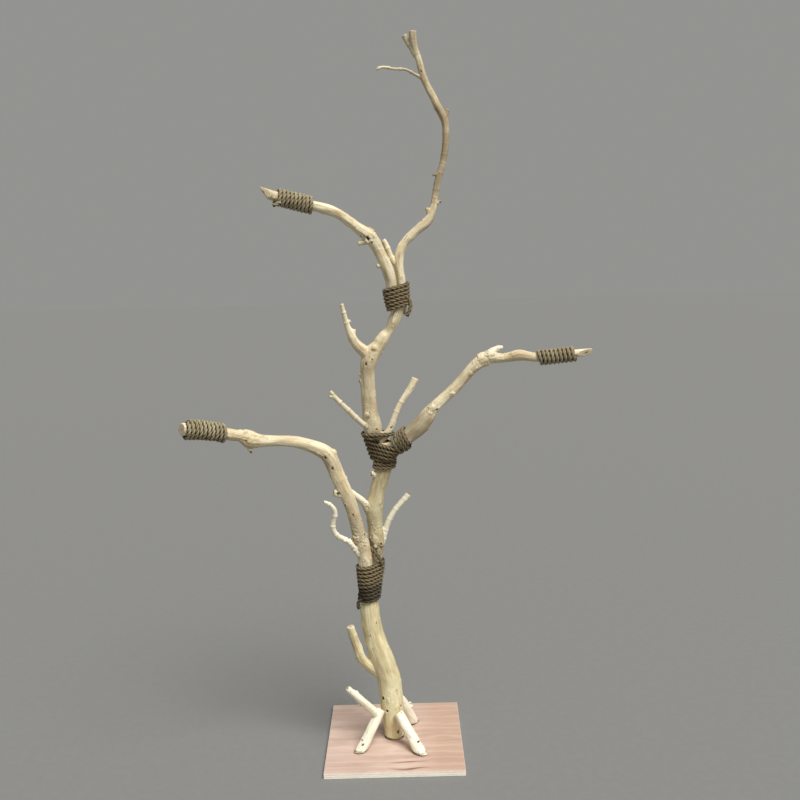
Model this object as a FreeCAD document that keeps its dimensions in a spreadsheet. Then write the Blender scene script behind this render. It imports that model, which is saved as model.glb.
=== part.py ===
"""Climbing tree for cats: peeled natural branches, screwed together and bound with
hemp rope, standing on a square plywood board.  Millimetres, +Z up, origin at the
centre of the board's underside, -Y is the front."""
import FreeCAD
import Part
import math
import os

Vec = FreeCAD.Vector
UP = Vec(0, 0, 1)

doc = FreeCAD.newDocument("cat_tree")

# ---------------------------------------------------------------- driving sizes
SIZES = [
    ("board_side", 400),
    ("board_thickness", 15),
    ("rope_diameter", 12),
    ("rope_bed", 1.5),
    ("lag_diameter", 8),
    ("lag_length", 85),
    ("lag_head_diameter", 16),
    ("lag_circle_diameter", 38),
    ("screw_diameter", 5),
    ("screw_head_diameter", 10),
    ("foot_screw_length", 46),
    ("head_screw_length", 60),
    ("joint_screw_length", 50),
    ("spur_screw_length", 50),
    ("dowel_diameter", 8),
    ("dowel_length", 90),
    ("nail_diameter", 2.4),
    ("nail_length", 24),
    ("nail_head_diameter", 5),
    ("nail_head_thickness", 1),
]
sheet = doc.addObject("Spreadsheet::Sheet", "Dimensions")
for row, (alias, value) in enumerate(SIZES, 1):
    sheet.set("A%d" % row, alias)
    sheet.set("B%d" % row, str(value))
    sheet.setAlias("B%d" % row, alias)
doc.recompute()


def size(alias):
    return float(sheet.get(alias))


BOARD_TOP = size("board_thickness")
ROPE = size("rope_diameter")
ROPE_RISE = ROPE - size("rope_bed")     # how far a tight turn stands off the wood
ROPE_CLEARANCE = 0.4                    # so that wood and rope envelope never overlap

# ---------------------------------------------------------------- the branches
# Each stick is a list of stations along its heart: x, y, z and diameter there.
LOWER_TRUNK = [
    (-1, 0, 5, 60), (-1, 0, 40, 61), (-3, 0, 80, 65), (-7, 0, 125, 70), (-10, 0, 170, 70),
    (-17, 0, 218, 68), (-30, 0, 258, 68), (-43, 0, 302, 64), (-56, 0, 350, 60),
    (-62, 0, 395, 57), (-64, 1, 430, 54), (-63, 2, 460, 49), (-55, 6, 505, 47),
    (-44, 10, 560, 44),
]
LOWER_TRUNK_STUB = [
    (-25, 0, 210, 34), (-45, -2, 224, 36), (-64, -8, 240, 31), (-80, -14, 257, 27),
    (-92, -18, 277, 27), (-100, -20, 300, 28), (-110, -22, 333, 26), (-121, -25, 377, 22),
]
FRONT_LEFT_BRACE = [
    (-108, -90, 2, 33), (-101, -85, 16, 32), (-85, -72, 41, 31), (-70, -58, 66, 31),
    (-57, -46, 87, 30), (-46, -35, 105, 29), (-39, -28, 116, 26),
]
FRONT_LEFT_TWIG = [
    (-46, -38, 100, 25), (-62, -45, 121, 24), (-82, -52, 145, 23), (-101, -60, 168, 22),
    (-118, -66, 188, 18), (-133, -72, 207, 15),
]
FRONT_RIGHT_BRACE = [
    (86, -113, -2, 35), (79, -106, 9, 35), (70, -97, 23, 35), (58, -84, 41, 33),
    (45, -70, 60, 32), (30, -56, 82, 32), (18, -44, 101, 32), (12, -39, 110, 29),
]
REAR_RIGHT_BRACE = [
    (60, 90, 2, 31), (53, 78, 17, 31), (45, 62, 43, 31), (36, 47, 72, 30),
    (26, 32, 102, 28), (14, 18, 126, 25),
]
REAR_RIGHT_STUB = [(34, 46, 72, 15), (44, 48, 83, 13), (51, 48, 92, 11)]
MIDDLE_TRUNK = [
    (-45, 11, 530, 40), (-43, 12, 555, 38), (-40, 12, 580, 39), (-37, 12, 612, 43),
    (-39, 10, 656, 42), (-41, 8, 690, 45), (-40, 6, 718, 51), (-35, 4, 748, 46),
    (-29, 4, 778, 43), (-21, 4, 808, 45), (-12, 4, 836, 48), (-5, 4, 862, 46),
    (0, 2, 892, 43), (4, 0, 935, 40),
]
MIDDLE_SPUR = [(-44, 4, 698, 28), (-57, 0, 718, 23), (-68, -6, 742, 20), (-90, -14, 766, 18),
               (-114, -26, 790, 17)]
MIDDLE_TWIG = [
    (-28, 12, 596, 14), (-20, 14, 616, 14), (-13, 16, 641, 15), (-6, 18, 668, 18),
    (7, 20, 694, 18), (25, 24, 719, 16), (44, 28, 739, 16), (60, 32, 756, 19),
]
MIDDLE_STUB = [(-22, 0, 818, 20), (-36, -8, 827, 15), (-46, -15, 833, 12)]
LEFT_ARM = [
    (-64, -10, 440, 24), (-66, -14, 468, 30), (-68, -18, 500, 36), (-69, -20, 540, 39),
    (-71, -21, 575, 41), (-76, -24, 612, 41), (-87, -30, 670, 39), (-101, -36, 729, 37),
    (-111, -38, 762, 38), (-123, -40, 792, 41), (-135, -42, 822, 42), (-147, -44, 856, 41),
    (-157, -46, 884, 42), (-170, -48, 903, 42), (-190, -51, 916, 39), (-215, -54, 927, 36),
    (-245, -58, 937, 33), (-300, -67, 946, 29), (-330, -72, 947, 32), (-355, -76, 949, 40),
    (-376, -82, 954, 50), (-391, -88, 962, 39), (-406, -96, 968, 31), (-428, -107, 975, 32),
    (-462, -128, 988, 31), (-498, -152, 998, 33), (-553, -196, 1009, 35),
]
LEFT_ARM_KNOB = [(-118, -40, 780, 30), (-138, -44, 785, 28), (-153, -47, 787, 22)]
LEFT_ARM_NODE_STUB = [(-376, -82, 952, 22), (-378, -84, 932, 15), (-373, -85, 916, 9)]
LEFT_ARM_TWIG = [
    (-74, -26, 590, 18), (-93, -36, 604, 14), (-106, -46, 630, 13), (-128, -54, 651, 13),
    (-150, -60, 669, 14), (-157, -62, 688, 14), (-154, -64, 712, 13), (-149, -67, 736, 13),
    (-157, -70, 752, 11), (-168, -72, 764, 10), (-180, -74, 768, 8),
]
UPPER_TRUNK = [
    (-20, 22, 860, 30), (-25, 21, 880, 36), (-31, 19, 910, 43), (-36, 16, 938, 50),
    (-38, 13, 960, 54), (-41, 10, 985, 50), (-44, 8, 1014, 44), (-46, 5, 1060, 43),
    (-47, 4, 1100, 42), (-46, 2, 1130, 43), (-42, 0, 1155, 48), (-32, 0, 1177, 49),
    (-18, 0, 1193, 40), (-6, 0, 1210, 36), (21, 0, 1252, 36), (35, 0, 1275, 35),
    (44, 0, 1297, 33), (48, -1, 1330, 29), (48, -1, 1360, 26),
]
UPPER_LEFT_TWIG = [
    (-44, 0, 1165, 38), (-57, -6, 1186, 33), (-71, -10, 1200, 28), (-83, -14, 1217, 25),
    (-91, -17, 1236, 22), (-97, -19, 1253, 17), (-102, -22, 1272, 14), (-107, -25, 1295, 12),
    (-112, -28, 1320, 11),
]
UPPER_LEFT_TWIG_STUB = [(-87, -15, 1222, 18), (-82, -12, 1248, 14)]
UPPER_LEFT_BRANCHLET = [(-102, -21, 1271, 9), (-86, -18, 1270, 6)]
LOW_LEFT_TWIG = [
    (-40, 6, 955, 22), (-56, -6, 970, 17), (-72, -14, 984, 16), (-99, -22, 1014, 16),
    (-126, -30, 1043, 14), (-142, -34, 1063, 11), (-152, -37, 1078, 9),
]
LOW_LEFT_TWIG_FORK = [(-143, -34, 1058, 9), (-156, -38, 1063, 8)]
LOW_RIGHT_TWIG = [
    (-22, 10, 922, 28), (-6, 8, 936, 25), (8, 7, 950, 21), (20, 10, 974, 19), (28, 13, 997, 17),
    (37, 16, 1016, 16), (49, 20, 1036, 16), (64, 24, 1056, 19), (78, 28, 1077, 21),
    (90, 32, 1098, 24),
]
RIGHT_ARM = [
    (0, -20, 876, 22), (12, -25, 896, 30), (29, -31, 915, 37), (51, -38, 934, 41),
    (73, -43, 951, 43), (96, -49, 972, 48), (115, -54, 996, 44), (129, -57, 1016, 37),
    (141, -59, 1030, 32), (170, -60, 1056, 29), (197, -60, 1081, 30), (225, -60, 1111, 30),
    (246, -60, 1134, 31), (268, -61, 1152, 36), (291, -62, 1163, 38), (308, -63, 1162, 30),
    (325, -65, 1160, 24), (348, -68, 1163, 26), (376, -72, 1168, 30), (400, -75, 1164, 26),
    (420, -78, 1160, 22), (457, -84, 1163, 22), (500, -90, 1168, 22), (540, -97, 1172, 21),
    (585, -104, 1176, 21),
]
RIGHT_ARM_SHELF = [(288, -62, 1166, 26), (302, -62, 1181, 16), (317, -62, 1188, 10), (332, -62, 1191, 6)]
UPPER_LEFT_ARM = [
    (35, -5, 1285, 18), (31, -7, 1309, 24), (27, -9, 1342, 30), (26, -10, 1378, 32),
    (19, -13, 1408, 33), (7, -16, 1437, 31), (-6, -20, 1465, 31), (-22, -25, 1494, 36),
    (-45, -30, 1514, 33), (-67, -34, 1531, 29), (-88, -38, 1548, 27), (-106, -42, 1561, 27),
    (-132, -48, 1573, 29), (-166, -56, 1583, 27), (-211, -66, 1595, 27), (-249, -75, 1605, 27),
    (-290, -85, 1617, 26), (-338, -96, 1640, 25),
]
UPPER_LEFT_ARM_STUB = [(-22, -25, 1493, 22), (-44, -28, 1487, 14), (-60, -31, 1482, 11)]
UPPER_LEFT_ARM_NUB = [(14, -14, 1422, 16), (-12, -20, 1421, 10)]
CROWN_BRANCH = [
    (57, 6, 1283, 18), (58, 8, 1309, 23), (57, 9, 1342, 27), (55, 10, 1377, 28),
    (52, 11, 1403, 26), (51, 12, 1432, 26), (55, 13, 1458, 26), (65, 14, 1478, 24),
    (89, 15, 1503, 25), (112, 16, 1522, 25), (130, 18, 1537, 27), (143, 19, 1556, 22),
    (150, 20, 1575, 19), (155, 22, 1600, 18), (160, 24, 1628, 18), (169, 27, 1664, 17),
    (181, 30, 1706, 18), (188, 33, 1750, 19), (190, 36, 1790, 19), (186, 38, 1816, 21),
    (174, 40, 1841, 21), (155, 43, 1880, 19), (136, 46, 1920, 19), (126, 48, 1952, 19),
    (120, 50, 1978, 19), (112, 50, 2003, 17), (106, 48, 2028, 20), (105, 46, 2053, 19),
]
CROWN_LEFT_PRONG = [(121, 50, 1976, 17), (101, 54, 2009, 14), (89, 58, 2030, 14), (81, 60, 2045, 13)]
CROWN_CUT_STUB = [(52, 12, 1420, 22), (36, 14, 1432, 18), (22, 15, 1462, 15), (8, 16, 1492, 14)]
CROWN_STUBS = [
    [(186, 38, 1810, 15), (196, 38, 1842, 10)],
    [(167, 27, 1668, 9), (150, 25, 1666, 7)],
    [(153, 22, 1584, 9), (173, 20, 1594, 6)],
    [(130, 18, 1535, 15), (116, 14, 1542, 9)],
    [(142, 19, 1552, 13), (133, 16, 1576, 8)],
]
CROWN_TWIG = [
    (130, 47, 1926, 10), (111, 44, 1937, 8), (98, 42, 1944, 7), (81, 40, 1951, 7),
    (54, 36, 1952, 7), (13, 30, 1955, 7), (4, 28, 1949, 6),
]

# Faces where two sticks of a joint meet: a point and the normal towards the second stick.
LEFT_ARM_SEAT = (Vec(-65, -9.5, 512), Vec(-0.7, -0.7, 0.25))
TRUNK_BUTT = (Vec(-44, 11, 545), UP)
UPPER_TRUNK_SEAT = (Vec(-21, 9, 890), Vec(-0.82, 0.57, 0.24))
RIGHT_ARM_SEAT = (Vec(3, -16, 890), Vec(0.4, -0.92, 0))
UPPER_LEFT_ARM_SEAT = (Vec(35, -5, 1321), Vec(-0.85, -0.5, 0.24))
CROWN_SEAT = (Vec(52, 5, 1320), Vec(0.85, 0.5, 0.27))
SEAT_WIDTH = 170
SEAT_DEPTH = 60


# ---------------------------------------------------------------- shape helpers
def heart_line(stations):
    """Smooth curve through the middle of a stick, paced by the way between stations."""
    middles = [Vec(*station[:3]) for station in stations]
    marks = [0.0]
    for before, after in zip(middles, middles[1:]):
        marks.append(marks[-1] + (after - before).Length)
    line = Part.BSplineCurve()
    line.interpolate(Points=middles, Parameters=marks)
    return line, marks


RINGS_PER_SPAN = 9


def stick(stations, ring_gap=22):
    """Solid round stick through its stations, both ends sawn square.

    Rings stand evenly along the heart, at most ring_gap apart, and the skin is lofted
    in spans of a few rings, so that it stays smooth however unevenly the stations lie.
    """
    line, marks = heart_line(stations)
    length = line.length()
    gaps = max(len(stations) - 1, math.ceil(length / ring_gap))
    side = Vec(0, 1, 0)
    rings = []
    for step in range(gaps + 1):
        mark = line.parameterAtDistance(length * step / gaps, line.FirstParameter)
        after = min(max(sum(1 for one in marks if one < mark), 1), len(marks) - 1)
        part = (mark - marks[after - 1]) / (marks[after] - marks[after - 1])
        diameter = stations[after - 1][3] + (stations[after][3] - stations[after - 1][3]) * part
        along = Vec(*line.tangent(mark)[0])
        side = (side - along * side.dot(along)).normalize()
        ring = Part.Wire(Part.Circle(Vec(), UP, diameter / 2).toShape())
        turn = FreeCAD.Rotation(side, along.cross(side), along, "ZXY")
        ring.Placement = FreeCAD.Placement(line.value(mark), turn)
        rings.append(ring)
    skin = [Part.Face(rings[0]), Part.Face(rings[-1])]
    for first in range(0, gaps, RINGS_PER_SPAN):
        span = rings[first:first + RINGS_PER_SPAN + 1]
        skin += Part.makeLoft(span, False, False, False, 3).Faces
    shell = Part.makeShell(skin)
    shell.sewShape()
    solid = Part.makeSolid(shell)
    if solid.Volume < 0:
        solid.reverse()
    return solid


def knob(x, y, z, diameter):
    return Part.makeSphere(diameter / 2, Vec(x, y, z))


def block_beyond(point, normal, width=900, depth=900):
    """Block on the far side of the plane through point."""
    block = Part.makeBox(width, width, depth, Vec(-width / 2, -width / 2, 0))
    block.Placement = FreeCAD.Placement(point, FreeCAD.Rotation(UP, normal))
    return block


def below(shape, point, normal, width=900, depth=900):
    """What is left of shape on the near side of the plane."""
    return shape.cut(block_beyond(point, normal, width, depth))


def above(shape, point, normal, width=900, depth=900):
    """What is left of shape on the far side of the plane."""
    return shape.cut(block_beyond(point, normal * -1, width, depth))


def seat_below(shape, seat):
    """First stick of a joint, flattened where the second one sits."""
    return below(shape, *seat, SEAT_WIDTH, SEAT_DEPTH)


def seat_above(shape, seat):
    """Second stick of a joint, flattened where it sits on the first."""
    return above(shape, *seat, SEAT_WIDTH, SEAT_DEPTH)


def branch(main, twigs=(), knobs=()):
    """A main stick with its side twigs and knobs grown on."""
    grown = stick(main)
    side_growth = [stick(twig) for twig in twigs] + [knob(*one) for one in knobs]
    if side_growth:
        grown = grown.fuse(side_growth)
    return grown


def crossing(stations, point, normal):
    """Where a stick's heart crosses a plane: centre, direction and radius, or None."""
    for first, second in zip(stations, stations[1:]):
        start, end = Vec(*first[:3]), Vec(*second[:3])
        before, after = (start - point).dot(normal), (end - point).dot(normal)
        if before * after <= 0 and before != after:
            part = before / (before - after)
            radius = (first[3] + (second[3] - first[3]) * part) / 2
            return start + (end - start) * part, (end - start).normalize(), radius
    return None


def taut_outline(sticks, point, normal, gap, count=36):
    """Closed outline of a loop pulled tight round the sticks where they cross a plane.

    In each direction the loop touches the stick that reaches furthest.  A stick that
    crosses the plane at a slant shows an ellipse there.
    """
    normal = Vec(normal).normalize()
    flat = (Vec(1, 0, 0) - normal * normal.x).normalize()
    other = normal.cross(flat)
    cuts = [cut for cut in (crossing(one, point, normal) for one in sticks) if cut]
    points = []
    for step in range(count):
        angle = 2 * math.pi * step / count
        way = flat * math.cos(angle) + other * math.sin(angle)
        best = None
        for centre, along, radius in cuts:
            slant = max(abs(along.dot(normal)), 0.35)
            lean = along - normal * along.dot(normal)
            lean = lean.normalize() if lean.Length > 1e-6 else flat
            across = normal.cross(lean)
            on_lean, on_across = way.dot(lean), way.dot(across)
            root = math.hypot(on_across, on_lean / slant)
            rim = (across * on_across + lean * (on_lean / slant ** 2)) * (radius / root)
            reach = (centre - point).dot(way) + rim.dot(way)
            if best is None or reach > best[0]:
                best = (reach, centre + rim + way * gap)
        points.append(best[1])
    return points


def closed_loft(outlines):
    wires = []
    for points in outlines:
        ring = Part.BSplineCurve()
        ring.interpolate(Points=points, PeriodicFlag=True)
        wires.append(Part.Wire(ring.toShape()))
    return Part.makeLoft(wires, True, False, False, 3)


def wound_sleeve(sticks, planes):
    """Envelope of rope wound tight round the sticks, open inside, over a run of planes."""
    outer = closed_loft([taut_outline(sticks, *plane, ROPE_RISE) for plane in planes])
    core_planes = list(planes)
    core_planes[0] = (planes[0][0] - planes[0][1], planes[0][1])
    core_planes[-1] = (planes[-1][0] + planes[-1][1], planes[-1][1])
    inner = closed_loft([taut_outline(sticks, *plane, ROPE_CLEARANCE) for plane in core_planes])
    return outer.cut(inner)


def level_planes(start, end, count, normal=None, last_normal=None):
    """Planes spread evenly from start to end; their normals swing to last_normal."""
    normal = (normal or (end - start)).normalize()
    last_normal = (last_normal or Vec(normal)).normalize()
    planes = []
    for step in range(count):
        part = step / (count - 1)
        tilt = (normal * (1 - part) + last_normal * part).normalize()
        planes.append((start + (end - start) * part, tilt))
    return planes


def along_stick(stations, first, last):
    """Start and end points on a stick's heart, by station number and fraction."""
    ends = []
    for place in (first, last):
        index, part = int(place), place - int(place)
        start, end = Vec(*stations[index][:3]), Vec(*stations[index + 1][:3])
        ends.append(start + (end - start) * part)
    return ends


# ---------------------------------------------------------------- fasteners
def bound(kind, name, **formulas):
    """A primitive whose sizes follow the sheet."""
    thing = doc.addObject(kind, name)
    for prop, formula in formulas.items():
        thing.setExpression(prop, formula)
    return thing


def pointed_screw(name, head_at, aim_at, kind, length):
    """Countersunk screw with a pointed tip; its length is measured over all."""
    shank = bound("Part::Cylinder", name + "_shank", Radius="Dimensions.%s_diameter / 2" % kind,
                  Height="Dimensions.%s - Dimensions.%s_diameter" % (length, kind))
    head = bound("Part::Cone", name + "_head", Radius1="Dimensions.%s_head_diameter / 2" % kind,
                 Radius2="Dimensions.%s_diameter / 2" % kind,
                 Height="(Dimensions.%s_head_diameter - Dimensions.%s_diameter) / 2" % (kind, kind))
    tip = bound("Part::Cone", name + "_tip", Radius1="Dimensions.%s_diameter / 2" % kind,
                Radius2="Dimensions.%s_diameter / 16" % kind,
                Height="Dimensions.%s_diameter" % kind)
    tip.setExpression("Placement.Base.z", "Dimensions.%s - Dimensions.%s_diameter" % (length, kind))
    screw = doc.addObject("Part::MultiFuse", name)
    screw.Shapes = [shank, head, tip]
    screw.Placement = FreeCAD.Placement(head_at, FreeCAD.Rotation(UP, aim_at - head_at))
    return screw


def round_nail(name, on_rope, aim_at):
    """Short nail with a flat head that stands on the rope."""
    shank = bound("Part::Cylinder", name + "_shank", Radius="Dimensions.nail_diameter / 2",
                  Height="Dimensions.nail_length")
    head = bound("Part::Cylinder", name + "_head", Radius="Dimensions.nail_head_diameter / 2",
                 Height="Dimensions.nail_head_thickness")
    head.setExpression("Placement.Base.z", "-Dimensions.nail_head_thickness")
    nail = doc.addObject("Part::MultiFuse", name)
    nail.Shapes = [shank, head]
    nail.Placement = FreeCAD.Placement(on_rope, FreeCAD.Rotation(UP, aim_at - on_rope))
    return nail


def fastener_group(name, fasteners):
    group = doc.addObject("Part::Compound", name)
    group.Links = fasteners
    group.Label = name
    return group


def seat_screw(name, seat, up, back, length="joint_screw_length"):
    """Screw driven square through a joint's seat, from the second stick into the first.

    up is how far along Z it sits from the seat's point; back is how far its head
    stands out from the seat.
    """
    point, normal = seat
    normal = Vec(normal).normalize()
    slope = (UP - normal * normal.z).normalize()
    middle = point + slope * up
    return pointed_screw(name, middle + normal * back, middle, "screw", length)


lag_ring = size("lag_circle_diameter") / 2
lag_places = [Vec(lag_ring * math.cos(turn), lag_ring * math.sin(turn), 0)
              for turn in (math.pi / 2, math.pi * 7 / 6, math.pi * 11 / 6)]
lag_screws = [pointed_screw("lag_screw_%d" % number, place, place + UP, "lag", "lag_length")
              for number, place in enumerate(lag_places, 1)]

foot_screws = [
    pointed_screw("foot_screw_%d" % number, head_at, head_at - UP, "screw", "foot_screw_length")
    for number, head_at in enumerate((Vec(-92, -79, 50), Vec(69, -95, 49), Vec(49, 70, 50)), 1)]

head_screws = [
    pointed_screw("head_screw_%d" % number, head_at, aim_at, "screw", "head_screw_length")
    for number, (head_at, aim_at) in enumerate((
        (Vec(-60, -46, 97), Vec(-5, 0, 104)),
        (Vec(27, -59, 97), Vec(-5, 0, 104)),
        (Vec(39, 47, 90), Vec(-5, 0, 104))), 1)]

lower_joint_screws = [
    seat_screw("lower_joint_screw_1", LEFT_ARM_SEAT, -4, 20),
    seat_screw("lower_joint_screw_2", LEFT_ARM_SEAT, 30, 34),
]
middle_joint_screws = [
    seat_screw("middle_joint_screw_1", UPPER_TRUNK_SEAT, 0, 29),
    seat_screw("middle_joint_screw_2", UPPER_TRUNK_SEAT, 14, 34),
    seat_screw("middle_joint_screw_3", RIGHT_ARM_SEAT, 6, 24),
]
upper_joint_screws = [
    seat_screw("upper_joint_screw_1", UPPER_LEFT_ARM_SEAT, 14, 24),
    seat_screw("upper_joint_screw_2", CROWN_SEAT, -8, 19),
]
spur_screw = pointed_screw("spur_screw_1", Vec(-141, -57, 786), Vec(-112, -26, 789), "screw",
                           "spur_screw_length")

dowel = bound("Part::Cylinder", "dowel_body", Radius="Dimensions.dowel_diameter / 2",
              Height="Dimensions.dowel_length")
dowel.Placement = FreeCAD.Placement(Vec(-46, 10, 500), FreeCAD.Rotation(UP, Vec(3, 1.5, 90)))
doc.recompute()


def drilled(shape, fasteners):
    """Shape with a snug hole for each fastener."""
    return shape.cut([fastener.Shape for fastener in fasteners])


# ---------------------------------------------------------------- board
board_blank = bound("Part::Box", "board_blank", Length="Dimensions.board_side",
                    Width="Dimensions.board_side", Height="Dimensions.board_thickness")
board_blank.setExpression("Placement.Base.x", "-Dimensions.board_side / 2")
board_blank.setExpression("Placement.Base.y", "-Dimensions.board_side / 2")
board_drillings = doc.addObject("Part::Compound", "board_drillings")
board_drillings.Links = lag_screws + foot_screws
base_board = doc.addObject("Part::Cut", "base_board")
base_board.Base = board_blank
base_board.Tool = board_drillings
base_board.Label = "base_board"
doc.recompute()

# ---------------------------------------------------------------- sticks, cut to fit
def on_board(shape):
    return above(shape, Vec(0, 0, BOARD_TOP), UP)


def main_solid(shape):
    """The stick itself, without loose slivers that a cut leaves."""
    return max(shape.Solids, key=lambda solid: solid.Volume)


lower_trunk = branch(LOWER_TRUNK, [LOWER_TRUNK_STUB], [(-102, -17, 269, 16), (12, -27, 32, 14)])
lower_trunk = on_board(below(seat_below(lower_trunk, LEFT_ARM_SEAT), *TRUNK_BUTT))

front_left_brace = branch(FRONT_LEFT_BRACE, [FRONT_LEFT_TWIG],
                          [(-80, -57, 66, 12), (-110, -60, 186, 9)])
front_right_brace = branch(FRONT_RIGHT_BRACE, [], [(37, -70, 46, 14)])
rear_right_brace = branch(REAR_RIGHT_BRACE, [REAR_RIGHT_STUB])
front_left_brace, front_right_brace, rear_right_brace = [
    main_solid(on_board(brace).cut(lower_trunk))
    for brace in (front_left_brace, front_right_brace, rear_right_brace)]

left_arm = branch(LEFT_ARM, [LEFT_ARM_KNOB, LEFT_ARM_NODE_STUB, LEFT_ARM_TWIG],
                  [(-151, -46, 901, 26), (-119, -42, 827, 13), (-384, -86, 974, 17),
                   (-144, -58, 656, 11), (-96, -33, 646, 14)])
left_arm = main_solid(seat_above(left_arm, LEFT_ARM_SEAT))
left_arm = below(left_arm, Vec(-538, -184, 1007), Vec(-0.75, -0.66, 0.05))

middle_trunk = branch(MIDDLE_TRUNK, [MIDDLE_SPUR, MIDDLE_TWIG, MIDDLE_STUB],
                      [(-43, -7, 612, 16), (-24, -4, 618, 14)])
middle_trunk = above(seat_below(middle_trunk, LEFT_ARM_SEAT), *TRUNK_BUTT)
middle_trunk = seat_below(seat_below(middle_trunk, UPPER_TRUNK_SEAT), RIGHT_ARM_SEAT)
middle_trunk = below(middle_trunk, Vec(0, 0, 918), UP)

upper_trunk = branch(UPPER_TRUNK, [UPPER_LEFT_TWIG, UPPER_LEFT_TWIG_STUB, UPPER_LEFT_BRANCHLET,
                                   LOW_LEFT_TWIG, LOW_LEFT_TWIG_FORK],
                     [(-68, 0, 1118, 12), (-67, -2, 1100, 11), (-52, -16, 1003, 12),
                      (-25, -16, 1192, 18)])
upper_trunk = seat_above(upper_trunk, UPPER_TRUNK_SEAT)
upper_trunk = seat_below(seat_below(upper_trunk, UPPER_LEFT_ARM_SEAT), CROWN_SEAT)
upper_trunk = main_solid(below(upper_trunk, Vec(0, 0, 1345), UP).fuse(stick(LOW_RIGHT_TWIG)))
middle_trunk = main_solid(middle_trunk.cut([left_arm, upper_trunk]))

right_arm = branch(RIGHT_ARM, [RIGHT_ARM_SHELF], [(214, -66, 1090, 15), (117, -58, 968, 14)])
right_arm = main_solid(seat_above(right_arm, RIGHT_ARM_SEAT))
right_arm = below(right_arm, Vec(570, -100, 1176), Vec(0.97, 0, -0.2))
right_arm = main_solid(below(right_arm, Vec(550, -100, 1172), Vec(0.3, -0.9, -0.25)))

upper_left_arm = branch(UPPER_LEFT_ARM, [UPPER_LEFT_ARM_STUB, UPPER_LEFT_ARM_NUB],
                        [(-24, -28, 1512, 16), (-34, -34, 1490, 18), (-150, -54, 1568, 12)])
upper_left_arm = main_solid(seat_above(upper_left_arm, UPPER_LEFT_ARM_SEAT))
upper_left_arm = below(upper_left_arm, Vec(-299, -88, 1612), Vec(-0.82, -0.1, -0.55))
upper_left_arm = main_solid(below(upper_left_arm, Vec(-279, -98, 1612), Vec(-0.3, -0.95, 0.05)))

crown_branch = branch(CROWN_BRANCH,
                      [CROWN_LEFT_PRONG, CROWN_CUT_STUB, CROWN_TWIG] + CROWN_STUBS)
crown_branch = main_solid(seat_above(crown_branch, CROWN_SEAT))

sticks_in_place = {
    "lower_trunk": drilled(lower_trunk, lag_screws + head_screws + lower_joint_screws + [dowel]),
    "front_left_brace": drilled(front_left_brace, [foot_screws[0], head_screws[0]]),
    "front_right_brace": drilled(front_right_brace, [foot_screws[1], head_screws[1]]),
    "rear_right_brace": drilled(rear_right_brace, [foot_screws[2], head_screws[2]]),
    "middle_trunk": drilled(middle_trunk, lower_joint_screws + middle_joint_screws
                            + [dowel, spur_screw]),
    "left_arm": drilled(left_arm, lower_joint_screws + [spur_screw]),
    "upper_trunk": drilled(upper_trunk, middle_joint_screws + upper_joint_screws),
    "right_arm": drilled(right_arm, middle_joint_screws),
    "upper_left_arm": drilled(upper_left_arm, upper_joint_screws),
    "crown_branch": drilled(crown_branch, upper_joint_screws),
}

# ---------------------------------------------------------------- rope windings
LOWER_WRAP_PLANES = level_planes(Vec(-62, -2, 443), Vec(-54, -4, 572), 8, UP)
MIDDLE_WRAP_PLANES = level_planes(Vec(-4, 4, 839), Vec(0, -6, 915), 6, Vec(0.05, 0, 1),
                                  Vec(0.32, 0, 0.95))
TOP_RING_PLANES = level_planes(Vec(-30, 10, 930), Vec(-30, 10, 949), 3, UP)
COLLAR_PLANES = level_planes(Vec(41, -35, 926), Vec(69, -42, 948), 4, Vec(0.92, -0.2, 0.36))
UPPER_WRAP_PLANES = level_planes(Vec(48, 0, 1302), Vec(41, 0, 1370), 5, Vec(-0.2, 0, 1))
LEFT_TIP_PLANES = level_planes(*along_stick(LEFT_ARM, 23.2, 25.45), 6)
RIGHT_TIP_PLANES = level_planes(*along_stick(RIGHT_ARM, 20, 22.7), 5)
UPPER_LEFT_TIP_PLANES = level_planes(*along_stick(UPPER_LEFT_ARM, 13.15, 15.7), 5)

windings = {
    "lower_rope_wrap": [([LOWER_TRUNK, MIDDLE_TRUNK, LEFT_ARM], LOWER_WRAP_PLANES)],
    "middle_rope_wrap": [([MIDDLE_TRUNK, UPPER_TRUNK, RIGHT_ARM], MIDDLE_WRAP_PLANES),
                         ([UPPER_TRUNK, LOW_RIGHT_TWIG], TOP_RING_PLANES)],
    "right_arm_rope_collar": [([RIGHT_ARM], COLLAR_PLANES)],
    "upper_rope_wrap": [([UPPER_TRUNK, UPPER_LEFT_ARM, CROWN_BRANCH], UPPER_WRAP_PLANES)],
    "left_arm_tip_wrap": [([LEFT_ARM], LEFT_TIP_PLANES)],
    "right_arm_tip_wrap": [([RIGHT_ARM], RIGHT_TIP_PLANES)],
    "upper_left_arm_tip_wrap": [([UPPER_LEFT_ARM], UPPER_LEFT_TIP_PLANES)],
}


def nails_for(name, sticks, planes):
    """A nail through the first and the last turn, on the side away from the front."""
    nails = []
    for number, (near, far) in enumerate(((planes[0], planes[1]), (planes[-1], planes[-2])), 1):
        middle = near[0] + (far[0] - near[0]) * 0.4
        outline = taut_outline(sticks, middle, near[1], ROPE_RISE)
        back = max(outline, key=lambda point: point.y)
        inner = taut_outline(sticks, middle, near[1], -5)
        aim = max(inner, key=lambda point: point.y)
        nails.append(round_nail("%s_nail_%d" % (name, number), back, aim))
    return nails


rope_nails = []
for name, runs in windings.items():
    rope_nails += nails_for(name, *runs[0])
doc.recompute()

ropes_in_place = {}
for name, runs in windings.items():
    sleeves = [wound_sleeve(sticks, planes) for sticks, planes in runs]
    sleeve = sleeves[0].fuse(sleeves[1:]) if len(sleeves) > 1 else sleeves[0]
    ropes_in_place[name] = drilled(sleeve, rope_nails)

for name in sticks_in_place:
    sticks_in_place[name] = drilled(sticks_in_place[name], rope_nails)

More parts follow.
